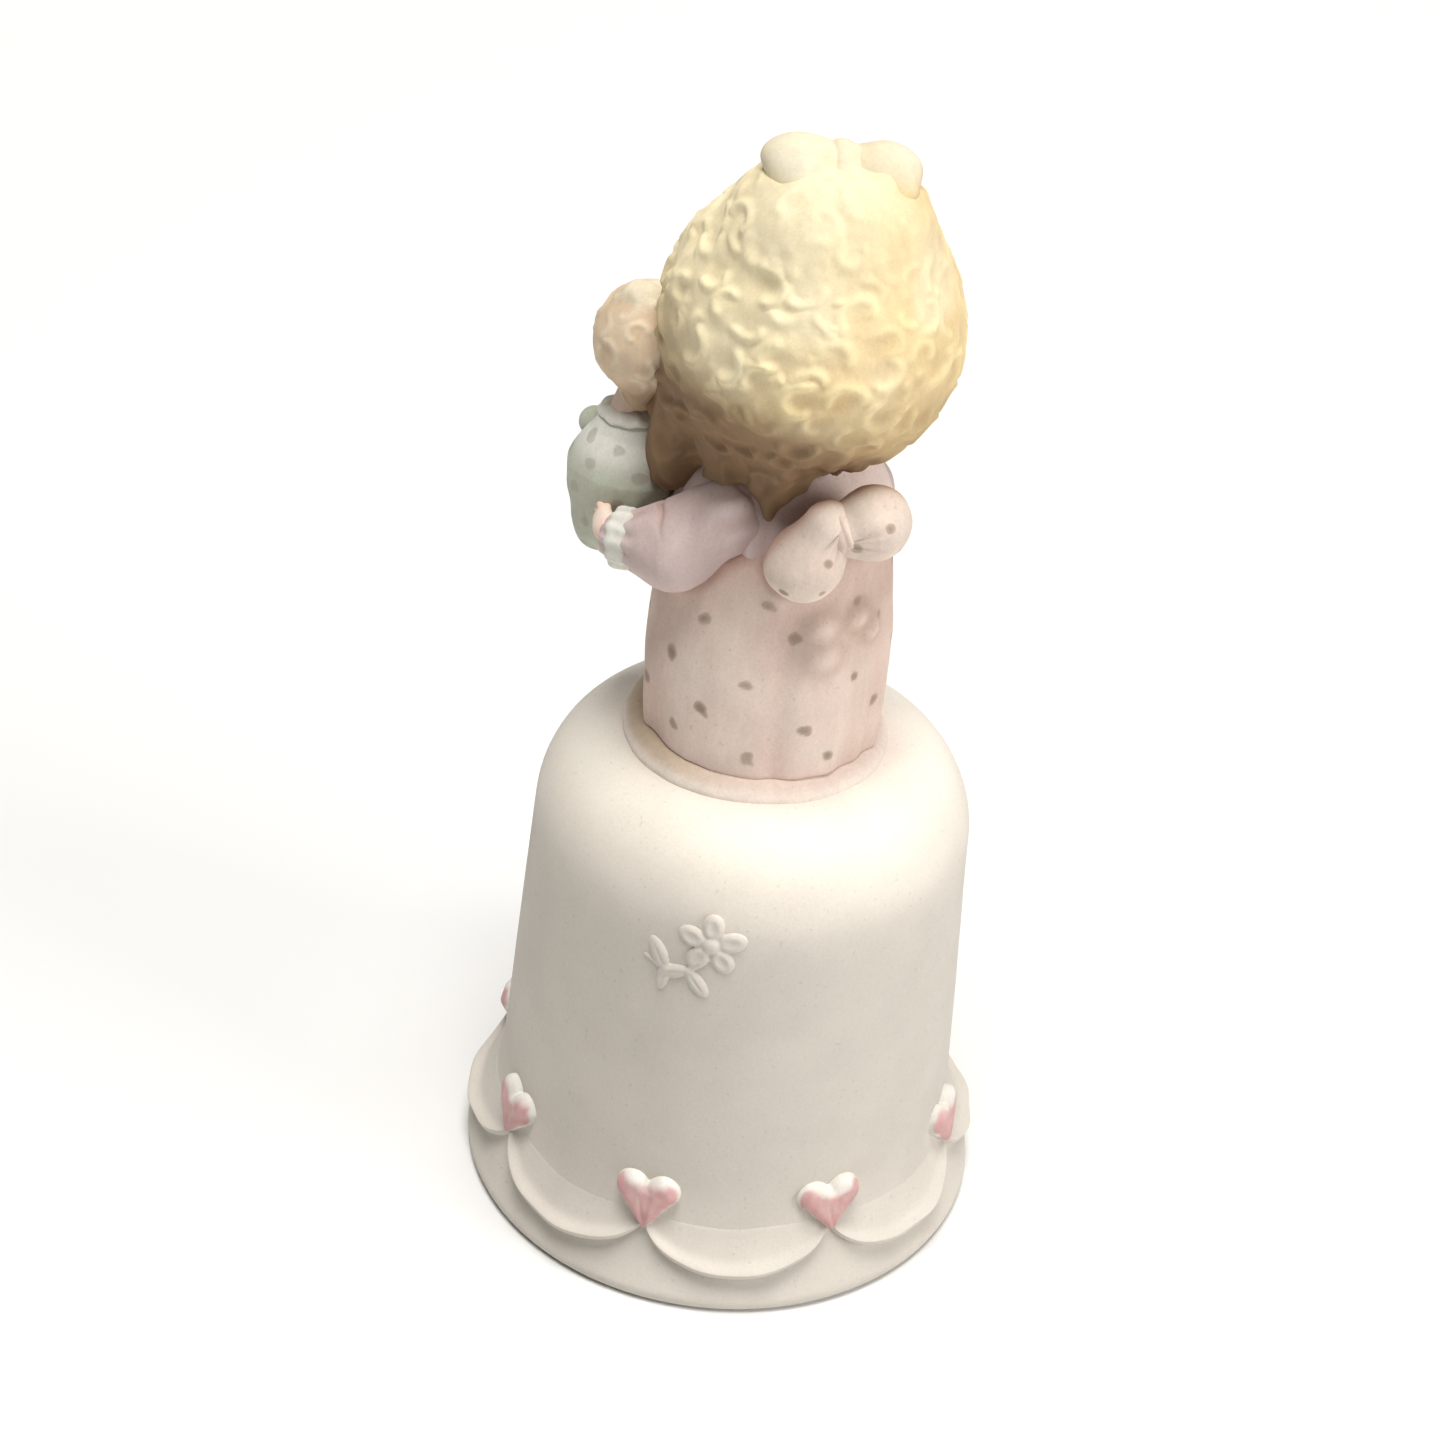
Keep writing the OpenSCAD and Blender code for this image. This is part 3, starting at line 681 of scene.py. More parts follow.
def skirt_mesh():
    """The folded skirt with a rolled hem, a rounded top edge and a plain inside."""
    around, rows, inner_rows, hem, crown = 620, 118, 10, 0.95, 2.2
    theta = angles(around)
    t = np.linspace(0, 1, rows)[:, None]
    above_hem, below_waist = t * SKIRT_RISE, (1 - t) * SKIRT_RISE
    r = skirt_radius(theta, t)
    r = r - np.where(above_hem < hem, hem - np.sqrt(np.maximum(hem**2 - (hem - above_hem) ** 2, 0)), 0)
    bend = 1.6 * (1 - np.sqrt(np.maximum(1 - (1 - below_waist / crown) ** 2, 0)))
    r = r - np.where(below_waist < crown, bend, 0)
    z = HEM_Z + above_hem + 0.1 * np.sin(5 * theta) * step(3, 0, above_hem)
    t = np.linspace(1, 0, inner_rows)[:, None] * np.ones(around)
    r = np.concatenate([r, HEM_R - 3.4 - 1.0 * t**0.7])
    z = np.concatenate([z, HEM_Z + t * SKIRT_RISE])
    return hoop(r, z, SKIRT_C)


def skirt_tint(p, puff_shade):
    """Rose, with painted shade deepening it in the folds, beside the arms and bow, under the puffs and on the
    flanks; it is also cloudy and darker towards the hem.
    """
    hollow = (np.hypot(p[:, 0] - SKIRT_C[0], p[:, 1] - SKIRT_C[1]) - HEM_R + 0.6) / 0.8
    beside = np.minimum(gap_to(p, ARMS["left"], [5.0, 4.8, 3.0]), gap_to(p, ARMS["right"], [3.7, 4.8, 3.0]))
    for _, _, root, end, slim, wide in LOBES:
        beside = np.minimum(beside, gap_to(p, [root, end], [slim, wide]))
    out = unit((p - SKIRT_C) * (1, 1, 0))
    # painted shade on two flanks of the skirt
    flank_shade = 0.5 * step(0.55, 0.95, out @ DOLL_SIDE) + 0.35 * step(0.6, 0.95, out @ (-0.8, 0.6, 0))
    # painted shade in the fold hollows, beside the arms and bow and under the puffs
    return layered(
        ROSE,
        (rgb(206, 176, 162), np.clip(0.3 - 0.5 * hollow, 0, 0.6) + 0.1 * noise(p, 8, 22)),
        (rgb(230, 222, 208), 0.3 * step(-0.1, 0.9, noise(p, 5, 26))),
        (rgb(226, 200, 192), 0.5 * step(HEM_Z + 4, HEM_Z + 0.5, p[:, 2])),
        (rgb(172, 124, 106), 0.62 * step(1.7, 0.1, beside)),
        (rgb(188, 160, 142), 0.6 * np.clip(puff_shade, 0, 1)),
        (rgb(204, 170, 154), flank_shade),
    )


def build_skirt():
    p, quads = skirt_mesh()
    gathers, puff_shade = 0, 0
    for turn, height, out, width in GATHERS:
        off = np.linalg.norm(p - on_skirt(math.radians(turn), height), axis=1)
        gathers = gathers + out * bump(off, width)
        # painted shade in a ring round each puff
        puff_shade = np.maximum(puff_shade, out * bump(off - 1.25 * width, 0.6 * width))
    p = swell(p, quads, 0.07 * noise(p, 3.5, 21) + 0.12 * noise(p, 7, 20) + gathers)
    spots = []
    pick = np.random.default_rng(5)
    for row, height in enumerate((3.6, 8.4, 13.6, 18.8, 23.6)):
        for k in range(8):
            a = (k + 0.5 * (row % 2) + pick.uniform(-0.17, 0.17)) * TAU / 8 + 0.2
            spots.append(on_skirt(a, HEM_Z + height + pick.uniform(-1.1, 1.1)))
    tint = dotted(skirt_tint(p, puff_shade), p, spots, 0.8, 23)
    make("skirt", "dress_skirt", p, quads, tint, dress_paint, "dress_paint")


def build_plinth():
    """A low rolled foot under the hem, thicker on one side as in hand work."""
    thick_side = math.radians(-35)
    top = span("figure_plinth")[1][2]
    line = np.array([
        (-3.2, -2.5), (0.9, -2.5), (1.02, -1.75), (1.0, -1.5), (0.88, -1.2), (0.66, -0.92), (0.36, -0.6),
        (0.0, -0.3), (-0.35, -0.02), (-0.7, 0.2), (-1.1, 0.36), (-1.7, 0.46), (-2.4, 0.5), (-3.2, 0.5),
    ])
    theta = angles(480)
    lean = 0.45 * np.cos(theta - thick_side) + 0.08 * np.sin(4 * theta) + 0.05 * np.sin(9 * theta + 1)
    p, quads = hoop(HEM_R + 0.45 + line[:, :1] + lean, top + line[:, 1:], PLINTH)
    p = swell(p, quads, 0.05 * noise(p, 2.2, 24))
    toward = np.cos(np.arctan2(p[:, 1] - PLINTH[1], p[:, 0] - PLINTH[0]) - thick_side)
    tint = layered(
        bell_tint(p),
        (rgb(226, 203, 190), 0.7 * step(top - 1.3, top - 0.1, p[:, 2] + 0.2 * noise(p, 4, 25))),
        # painted shade: tan in the groove under the hem on the thick side
        (rgb(206, 184, 150), 0.65 * step(-0.3, 0.9, toward) * step(top - 1.2, top - 0.2, p[:, 2])),
    )
    make("plinth", "figure_plinth", p, quads, tint, dress_paint, "plinth_paint")


def build_bodice():
    """Round shoulders and a short neck, gathered at the waist."""
    c = SKIRT_C * (0.6, 0.6, 0) + WAIST_Z * UP
    f = Field(c + (-15, -15, -2.5), c + (15, 15, 13.5), 0.2)
    d = f.egg(c - 0.5 * UP, (12.5, 12.0, 10.2))
    for shoulder, r in (((-6.6, 1.0, 2.6), 3.9), ((7.6, 2.0, 3.0), 4.3)):
        d = join(d, f.ball(c + shoulder, r), 3)
    d = join(d, f.bone(NECK - 2 * UP, NECK + 2 * UP, 5.0, 4.6), 2.5)
    d = cut(d, f.half(c - 0.9 * UP, UP), 0.5)
    p, quads = f.surface(d)
    q = p - c
    gather = 0.16 * np.sin(26 * np.arctan2(q[:, 1], q[:, 0]) + 1.5 * noise(p, 4, 31)) * step(5.5, 0, q[:, 2])
    p = swell(p, quads, gather + 0.1 * noise(p, 3, 32))
    # painted shade in the hollows of the gathers and painted light on the right shoulder
    tint = layered(
        LILAC,
        (rgb(206, 180, 172), np.clip(0.4 - 2.2 * gather, 0, 0.8)),
        (rgb(252, 232, 224), 0.85 * step(0.5, 0.95, unit(p - c) @ unit((-0.62, 0.68, 0.4)))),
    )
    make("bodice", "dress_bodice", p, quads, tint, dress_paint, "bodice_paint")


def around_axis(p, a, b):
    """(share along a to b, angle round that line) of each point."""
    d = b - a
    t = (p - a) @ d / (d @ d)
    u = unit(np.cross(d, UP))
    v = unit(np.cross(d, u))
    q = p - a - t[:, None] * d
    return t, np.arctan2(q @ v, q @ u)


# shoulder, elbow and wrist
ARMS = {
    "left": np.array([(8.8, 3.4, 96.9), (14.3, 0.9, 93.0), (18.2, -3.2, 92.2)]),
    "right": np.array([(-8.6, 0.2, 95.6), (-11.3, -5.1, 92.0), (-6.6, -11.2, 91.8)]),
}
SLEEVE_RADII = {"left": [5.0, 4.8, 3.0], "right": [4.0, 4.6, 3.0]}
CUFF_R = 3.5


def build_sleeve(side):
    """A full sleeve pleated at the shoulder and the wrist, and its ruffled cuff."""
    shoulder, elbow, wrist = ARMS[side]
    f = Field(ARMS[side].min(0) - 7, ARMS[side].max(0) + 7, 0.16)
    p, quads = f.surface(f.chain(ARMS[side], SLEEVE_RADII[side], 1.6))
    t, a = around_axis(p, elbow, wrist)
    s, b = around_axis(p, shoulder, elbow)
    pleats = 0.26 * np.cos(9 * a + 0.8 * noise(p, 2.5, 41)) * bump(t - 1.0, 0.42)
    pleats = pleats + 0.2 * np.cos(8 * b + 0.8 * noise(p, 2.5, 42)) * bump(s + 0.15, 0.4)
    inner = step(-0.2, 0.8, unit(p - elbow) @ unit((shoulder + wrist) / 2 - elbow))
    crook = bump((p - elbow) @ unit(wrist - shoulder) - 0.8 * noise(p, 3, 43), 0.42)
    relief = pleats - 0.45 * crook * inner
    p = swell(p, quads, relief + 0.09 * noise(p, 2.4, 44))
    # painted shade in the hollows of the pleats and in the crook of the elbow
    tint = layered(LILAC, (rgb(204, 176, 168), np.clip(0.3 - 1.4 * relief + 0.15 * noise(p, 4, 45), 0, 0.9)))
    make(side + "_arm", side + "_sleeve", p, quads, tint, dress_paint, "sleeve_paint")

    u = unit(wrist - elbow)
    f = Field(wrist - 5.2, wrist + 5.2, 0.13)
    d = f.bone(wrist - 0.5 * u, wrist + 0.9 * u, CUFF_R, CUFF_R)
    d = cut(d, f.half(wrist + 1.5 * u, -u), 1.0)
    d = cut(d, f.half(wrist - 1.4 * u, u), 1.0)
    p, quads = f.surface(d)
    t, a = around_axis(p, wrist - u, wrist + u)
    ripple = 0.09 * np.cos(11 * a + noise(p, 1.6, 46))
    p = swell(p, quads, ripple + 0.05 * noise(p, 1.5, 47))
    # painted shade in the hollows of the ripples
    tint = layered(WHITE, (rgb(206, 204, 192), np.clip(0.35 - 2.5 * ripple, 0, 0.9)))
    make(side + "_wrist_band", side + "_cuff", p, quads, tint, dress_paint, "white_paint")


# where the fingers point, and which way they curl
HANDS = {"left": ((0.02, -1.0, 0.12), (-1, -0.15, 0)), "right": ((0.86, -0.5, 0.12), (0.5, 0.86, 0))}
FINGERS = (1.6, 1.9, 1.8, 1.4)


def build_hand(side):
    """A small loosely curled hand with four fingers and a thumb."""
    _, elbow, wrist = ARMS[side]
    go, inward = unit(HANDS[side][0]), unit(HANDS[side][1])
    up = unit(UP - go * go[2])
    root = wrist + 1.6 * unit(wrist - elbow)
    palm = root + 1.5 * go
    f = Field(palm - 6.5, palm + 6.5, 0.12)
    d = f.bone(root, palm, 1.5, 1.55)
    d = join(d, f.egg(palm + 0.7 * go, (1.9, 1.95, 1.15), np.array([go, up, np.cross(go, up)])), 0.6)
    for k, size in enumerate(FINGERS):
        base = palm + 1.5 * go + (1.25 - 0.85 * k) * up
        knuckle = base + size * 0.75 * go + 0.35 * inward
        end = knuckle + size * 0.65 * unit(go + 0.9 * inward)
        d = join(d, f.chain([base, knuckle, end], [0.5, 0.47, 0.42], 0.15), 0.16)
    thumb = palm + 1.35 * up
    thumb_line = [palm + 0.2 * up, thumb + 0.6 * go + 0.2 * inward, thumb + 1.9 * go + 0.8 * inward]
    d = join(d, f.chain(thumb_line, [0.7, 0.55, 0.45], 0.2), 0.25)
    p, quads = f.surface(d)
    p = relax(p, quads, 1)
    blush = np.clip(0.3 + 0.4 * noise(p, 1.6, 51), 0, 0.7)
    tint = layered(SKIN, (CREAM, 0.4), (rgb(238, 196, 178), blush))
    make(side + "_fingers", side + "_hand", p, quads, tint, skin_paint, "skin_paint")


BOW_KNOT = np.array([1.7, 15.4, 101.0])
# name, CAD node, root, end, and the radius at each
LOBES = (
    ("sash_loop_left", "back_bow_left_loop",
     BOW_KNOT + (1.1, -0.8, 0.4), BOW_KNOT + (3.2, -2.2, -5.4), 2.9, 4.1),
    ("sash_loop_right", "back_bow_right_loop",
     BOW_KNOT + (-1.0, -0.3, -0.1), BOW_KNOT + (-4.4, 0.3, 0.5), 3.0, 4.0),
)


def build_sash_loop(name, node, root, end, slim, wide):
    """A plump loop with a dent in its end and creases that run out of the knot."""
    facing = np.array([0.1, 1, 0])
    go = unit(end - root)
    out = unit(facing - go * (go @ facing))
    rows = np.array([go, np.cross(out, go), out])
    f = Field(np.minimum(root, end) - 6, np.maximum(root, end) + 6, 0.15)
    d = f.bone(root, end - 1.2 * go, slim, wide - 0.3)
    d = join(d, f.egg(end - 0.6 * go, (wide + 0.2, wide + 0.2, wide - 0.3), rows), 1.4)
    dent = end + (wide + 0.9) * go
    d = cut(d, f.bone(dent - 3 * rows[1], dent + 3 * rows[1], 0.7, 0.7), 1.2)
    p, quads = f.surface(d)
    q = (p - root + 1.5 * go) @ rows.T
    fan = np.arctan2(q[:, 1], q[:, 0]) - 0.05 * noise(p, 2, 61)
    crease = 0
    for a, w, deep in ((0.3, 0.13, 0.34), (-0.34, 0.12, 0.3), (0.0, 0.1, 0.16)):
        crease = crease - deep * bump(fan - a, w)
    crease = crease * step(6.5, 2.0, np.linalg.norm(p - root, axis=1))
    n = normals(p, quads)
    p = p + n * (crease + 0.14 * noise(p, 2.8, 62))[:, None]
    pick = np.random.default_rng(len(name))
    spots = []
    for k in range(3):
        a, far = 0.9 + k * 2.3 + pick.uniform(-0.3, 0.3), 1.1 + 2.8 * math.sqrt((k + 0.2) / 3)
        bulge = wide * math.sqrt(max(0.05, 1 - (far / (wide + 0.6)) ** 2))
        spots.append(end - 0.9 * go + (far * math.cos(a), far * math.sin(a), bulge) @ rows)
    # painted shade in the creases and on the sides that face the body
    tint = layered(
        BOW,
        (BOW_SHADE, np.clip(-1.6 * crease + 0.12 + 0.2 * noise(p, 4, 63), 0, 0.8)),
        (rgb(204, 158, 140), 0.6 * step(0.28, -0.35, n @ out + 0.12 * noise(p, 2.5, 66))),
    )
    make(name, node, p, quads, dotted(tint, p, spots, 0.66, 64), dress_paint, "back_bow_paint")


def build_sash_knot():
    f = Field(BOW_KNOT - 5, BOW_KNOT + 5, 0.14)
    lean = np.array([unit((1, 0, -0.35)), unit((0.35, 0, 1)), (0, 1, 0)])
    p, quads = f.surface(f.egg(BOW_KNOT + (0, 0.2, 0), (1.9, 2.9, 2.3), lean))
    q = (p - BOW_KNOT) @ lean[0]
    crease = -0.16 * bump(q - 0.6, 0.3) - 0.14 * bump(q + 0.5, 0.28)
    p = swell(p, quads, crease + 0.08 * noise(p, 1.8, 65))
    # painted shade in the creases
    tint = layered(BOW, (BOW_SHADE, np.clip(-2.2 * crease + 0.2, 0, 0.8)))
    make("sash_knot", "back_bow_knot", p, quads, tint, dress_paint, "back_bow_paint")


# ---------------------------------------------------------------- head, face and hair
def ruffle(c, rows, radius, thick, tall, wave, spread, lift, drop):
    """A flat collar round c whose rim ripples. wave holds the ripple at each step round."""
    a = angles(rows)[:, None]
    rim = step(-1, 1, np.cos(a))
    r = radius + thick * np.cos(a) + spread * wave * rim
    return hoop(r, c[2] + tall * np.sin(a) + (lift * wave - drop) * rim, c)


def build_collar():
    """The neck ruffle, which tucks in at the back under the hair."""
    theta = angles(360)
    wave = 0.35 * np.sin(16 * theta) + 0.1 * np.sin(5 * theta + 1)
    radius = 6.9 - 1.3 * step(0.1, 0.85, np.cos(theta - math.radians(80)))
    c = HEAD_C * (1, 1, 0) + middle("collar") * (0, 0, 1)
    p, quads = ruffle(c, 26, radius, 1.9, 0.85, wave, 0.12, 0.8, 0.5)
    tint = mottled(WHITE, rgb(210, 204, 192), p, 2, 71)
    make("neck_ruffle", "collar", p, quads, tint, dress_paint, "white_paint")


FACE_OUT = HEAD_R * 0.985
HEAD_TURN = math.radians(-20)
EYE_X, EYE_Z, BROW_Z, NOSE_Z, MOUTH_Z = 4.2, -2.4, 0.9, -5.6, -8.7


def on_face(x, z):
    """Point on the front of the head ball at x and z off its middle."""
    return HEAD_C + (x, -math.sqrt(max(FACE_OUT**2 - x * x - z * z, 0)), z)


def mirrored(*half):
    """Points of a line that runs across the middle, from its middle and its +X half."""
    return np.array([(-x, *rest) for x, *rest in reversed(half) if x] + list(half), float)


def stroke(p, line, width):
    """Share of paint at each point for a soft brush line through (x, z) points, seen from the front."""
    best = np.full(len(p), 9.0)
    flat, line = p[:, [0, 2]], np.array(line, float)
    for i in range(len(line) - 1):
        d = line[i + 1] - line[i]
        t = np.clip((flat - line[i]) @ d / (d @ d), 0, 1)
        u = (i + t) / (len(line) - 1)
        w = width * (1 - 0.5 * (2 * u - 1) ** 2)
        best = np.minimum(best, np.linalg.norm(flat - line[i] - t[:, None] * d, axis=1) / w)
    return step(1.25, 0.75, best)


def face_shape():
    """(field, distances) of a calm, rounded face: eyes, brows, nose, lips and chin."""
    c = HEAD_C
    f = Field(c + (-13.5, -HEAD_R - 2.5, -HEAD_R - 3.5), c + (13.5, -1.5, 12), 0.165)
    d = join(f.ball(c, HEAD_R), f.egg(c + (0, -5.6, -8.2), (8.0, 6.6, 5.6)), 3)
    tip = on_face(0, NOSE_Z)
    for s in (-1, 1):
        socket = on_face(s * EYE_X, EYE_Z)
        upper = [(-2.1, -0.1), (-1.1, 0.78), (0.2, 1.04), (1.4, 0.72), (2.3, 0.0)]
        lower = [(-1.8, -0.65), (-0.6, -1.12), (0.8, -1.12), (1.9, -0.55)]
        upper = [socket + (s * x, -0.2 - 0.1 * (1 - (x / 2.4) ** 2), z) for x, z in upper]
        lower = [socket + (s * x, 0.05, z) for x, z in lower]
        brow = on_face(s * 2.5, BROW_Z) + (0, 0.6, 0), on_face(s * 6.6, BROW_Z - 0.2) + (0, 0.8, 0)
        d = join(d, f.egg(c + (s * 5.9, -9.0, -6.2), (3.5, 3.5, 3.4)), 2.2)
        d = cut(d, f.egg(socket + (0, -1.1, 0.3), (2.9, 1.75, 2.1)), 1.5)
        d = join(d, f.egg(socket + (0, 1.55, 0), (2.15, 2.1, 1.75)), 0.35)
        d = join(d, f.chain(upper, [0.2, 0.34, 0.38, 0.32, 0.2], 0.1), 0.4)
        d = join(d, f.chain(lower, [0.12, 0.2, 0.2, 0.12], 0.1), 0.35)
        d = join(d, f.bone(*brow, 0.8, 0.6), 1.2)
    d = join(d, f.bone(on_face(0, EYE_Z + 0.6) + (0, 0.5, 0), tip + (0, -0.15, 0.3), 0.5, 0.95), 1.2)
    d = join(d, f.ball(tip + (0, -0.35, 0), 1.05), 0.8)
    for s in (-1, 1):
        d = join(d, f.ball(tip + (s * 0.95, 0.1, -0.2), 0.6), 0.5)
        d = cut(d, f.ball(tip + (s * 0.55, -0.55, -0.95), 0.26), 0.25)
    mouth = on_face(0, MOUTH_Z) + (0, -0.25, 0)
    upper = mirrored((0, -0.02, 0.26), (0.8, -0.05, 0.4), (2.1, 0.4, 0.42))
    lower = mirrored((0.6, -0.08, -0.38), (1.7, 0.35, 0.1))
    seam = mirrored((0, -0.45, 0.0), (0.9, -0.45, 0.08), (2.2, 0.1, 0.42))
    d = join(d, f.chain(mouth + upper, [0.17, 0.34, 0.34, 0.34, 0.17], 0.15), 0.35)
    d = join(d, f.chain(mouth + lower, [0.21, 0.42, 0.42, 0.21], 0.15), 0.35)
    d = cut(d, f.chain(mouth + seam, [0.08, 0.12, 0.12, 0.12, 0.08], 0.1), 0.15)
    d = join(d, f.ball(c + (0, -10.5, -11.7), 2.0), 2.6)
    return f, np.maximum(d, f.half(c + (0, -2.2, 0), (0, 1, 0)))


def eye_paint(tint, p, s):
    """Cheek, eye, lashes, folds and brow on side s of the face. p is counted from the head's middle."""
    eye = on_face(s * EYE_X, EYE_Z) - HEAD_C
    e = p - eye + (0, 0.5, 0)
    white = step(1.05, 0.92, np.hypot(e[:, 0] / 2.0, (e[:, 2] + 0.14) / 0.92)) * step(0.8, 0.2, e[:, 1])
    iris = np.hypot(e[:, 0], e[:, 2] + 0.06)
    glint = np.hypot(e[:, 0] + 0.36, e[:, 2] - 0.3)
    flat, front = (p - (s * EYE_X, 0, EYE_Z)) * (s, 0, 1), step(-6, -8, p[:, 1])
    lashes = [(-1.95, -0.2), (-1.2, 0.5), (0, 0.82), (1.2, 0.58), (2.2, 0.05)]
    fold = [(-1.6, 0.65), (-0.8, 1.25), (0.3, 1.47), (1.4, 1.25), (2.3, 0.65)]
    low = [(-1.7, -0.7), (-0.6, -1.08), (0.6, -1.08), (1.9, -0.5)]
    brow = np.array([(-2.0, 0), (-0.8, 0.62), (0.8, 0.9), (2.2, 0.6), (3.2, -0.1)]) + (0, BROW_Z - EYE_Z)
    cheek = np.linalg.norm(p + HEAD_C - on_face(s * 7.1, -6.4), axis=1)
    return layered(
        tint,
        (rgb(232, 160, 148), 0.62 * bump(cheek, 3.1)),
        (rgb(250, 248, 242), white),
        (rgb(112, 126, 132), step(1.12, 0.98, iris) * white),
        (rgb(64, 76, 84), step(1.12, 1.02, iris) * step(0.82, 0.98, iris) * white),
        (rgb(30, 26, 26), step(0.58, 0.46, iris) * white),
        # the small white dot in each eye is a painted highlight
        (rgb(255, 255, 255), step(0.3, 0.18, glint) * white),
        (rgb(104, 74, 58), 0.9 * stroke(flat, lashes, 0.25) * front),
        (rgb(206, 156, 134), 0.5 * stroke(flat, fold, 0.22) * front),
        (rgb(190, 142, 122), 0.6 * stroke(flat, low, 0.18) * front),
        (rgb(192, 152, 108), 0.65 * stroke(flat, brow, 0.32) * front),
    )


def build_head():
    f, d = face_shape()
    p, quads = f.surface(d)
    q = p - HEAD_C
    tint = mottled(SKIN, rgb(240, 204, 184), p, 4, 81, 0.25)
    for s in (-1, 1):
        tint = eye_paint(tint, q, s)
    across, front = q[:, 0] / 2.25, step(-9, -11, q[:, 1])
    thick = 0.74 * np.sqrt(np.clip(1 - across**2, 0, 1))
    lips = np.abs(q[:, 2] - MOUTH_Z - 0.4 * across**2 + 0.04) / (thick + 0.02)
    seam = mirrored((0, 0.0), (1.1, 0.1), (2.3, 0.44)) + (0, MOUTH_Z)
    nose = np.linalg.norm(p - on_face(0, NOSE_Z), axis=1)
    tint = layered(
        tint,
        (rgb(216, 128, 120), 0.75 * step(1.2, 0.75, lips) * step(1.0, 0.9, np.abs(across)) * front),
        (rgb(168, 84, 80), 0.7 * stroke(q, seam, 0.14) * front),
        (rgb(236, 176, 158), 0.35 * bump(nose, 1.5)),
    )
    make("face", "head", turned(p, HEAD_C, HEAD_TURN), quads, tint, skin_paint, "skin_paint")


def curls(p, centre, ball_r, spacing, size, height, seed):
    """Relief of open C-shaped locks with shallow bowls inside them, scattered over a ball."""
    pick = np.random.default_rng(seed)
    count = int(4 * math.pi * (ball_r / spacing) ** 2)
    k = np.arange(count) + 0.5
    polar, turn = np.arccos(1 - 2 * k / count), math.pi * (1 + 5**0.5) * k
    middles = np.stack([np.cos(turn) * np.sin(polar), np.sin(turn) * np.sin(polar), np.cos(polar)], 1)
    middles = unit(middles + pick.normal(0, 0.2 * spacing / ball_r, middles.shape))
    away, radius = unit(p - centre), np.linalg.norm(p - centre, axis=1)
    ridges, bowls = np.zeros(len(p)), np.zeros(len(p))
    for i in pick.permutation(count):
        c = middles[i]
        spin, r0 = pick.uniform(0, TAU), size * pick.uniform(0.75, 1.2)
        hand, tall = pick.choice([-1, 1]), height * pick.uniform(0.6, 1.1)
        sweep = pick.uniform(1.0, 1.7) * math.pi
        near = np.nonzero(away @ c > math.cos(1.7 * r0 / ball_r))[0]
        if not len(near):
            continue
        t1 = unit(np.cross(c, (0.3, 0.2, 1)))
        u, v = away[near] @ t1 * radius[near], 1.15 * (away[near] @ np.cross(c, t1)) * radius[near]
        rho, a = np.hypot(u, v), (hand * np.arctan2(v, u) - spin) % TAU
        line, width = r0 * (0.95 - 0.4 * a / sweep), 0.29 * r0 * (1 - 0.15 * a / sweep)
        ridge = bump(rho - line, width) * step(0, 0.6, a) * step(sweep, sweep - 0.9, a)
        inside = step(1.15, 0.75, rho / r0)
        ridges[near] = np.maximum(ridges[near] * (1 - 0.7 * inside), tall * ridge)
        bowls[near] = np.minimum(bowls[near], -0.5 * tall * step(0.95, 0.15, rho / r0))
    return ridges + bowls * (1 - ridges / height)


HEAD_AXES = level(HEAD_TURN)
HAIR_MEAN_R, DOLL_HAIR_MEAN_R = 17.29, 6.19


def hair_shape():
    """(field, distances) of the hair: a ball drawn up to the bow, with locks behind and beside the face."""
    c, knot = HEAD_C, middle("hair_bow_knot")
    left, back, _ = HEAD_AXES
    f = Field(c - (19, 19, 25), c + (19, 19, 21), 0.26)
    d = f.ball(c + (0.1, -0.1, 0.4), HAIR_R - 0.1)
    d = join(d, f.ball(c - 0.1 * left + 1.5 * back + 0.5 * UP, HAIR_R - 0.7), 3)
    d = join(d, f.egg(knot + 0.5 * left - 7.1 * UP, (9.3, 7.6, 7.2), HEAD_AXES), 5.5)
    d = join(d, f.egg(knot + 0.9 * left + 2.2 * back - 7.6 * UP, (8.6, 6.8, 6.9), HEAD_AXES), 5.5)
    locks = (
        ((5.2, 5.2, -12.0), (7.0, 7.6, -19.8), 5.0, 0.8, 2.4),
        ((10.2, -4.4, -7.5), (10.9, -6.6, -18.6), 4.8, 4.0, 2.5),
        ((8.3, 0.8, -10.5), (9.2, 1.4, -16.4), 4.6, 2.8, 2.5),
        ((10.4, -8.0, -9.5), (11.2, -8.6, -16.5), 3.4, 3.0, 2),
        ((-10.4, -3.5, -7) @ HEAD_AXES, (-9.4, -6.4, -14.2) @ HEAD_AXES, 4.2, 3.0, 2.5),
    )
    for root, end, root_r, end_r, fillet in locks:
        d = join(d, f.bone(c + root, c + end, root_r, end_r), fillet)
    d = cut(d, f.egg(c - 15.6 * back - 4.3 * UP, (9.2, 9.0, 9.8), HEAD_AXES), 1.6)
    d = cut(d, f.egg(c - 15.2 * back - 9.2 * UP, (8.0, 8.2, 6.2), HEAD_AXES), 1.6)
    d = cut(d, f.bone(c - 16 * UP, c - 2 * back - 20 * UP, 6.2, 7.5), 2)
    d = cut(d, f.ball(c - 13 * back - 19.5 * UP, 8.4), 1.6)
    d = cut(d, f.egg(c - 5.6 * back - 8.2 * UP, (8.5, 7.1, 6.0), HEAD_AXES), 0.3)
    d = cut(d, f.ball(DOLL_HEAD, DOLL_HEAD_R + 0.15), 0.5)
    doll_body = DOLL_BASE + (DOLL_HEM_Z + 8) * UP, DOLL_BASE + (DOLL_COLLAR_Z - 1.5) * UP
    return f, cut(d, f.bone(*doll_body, 5.7, 3.2), 0.8)


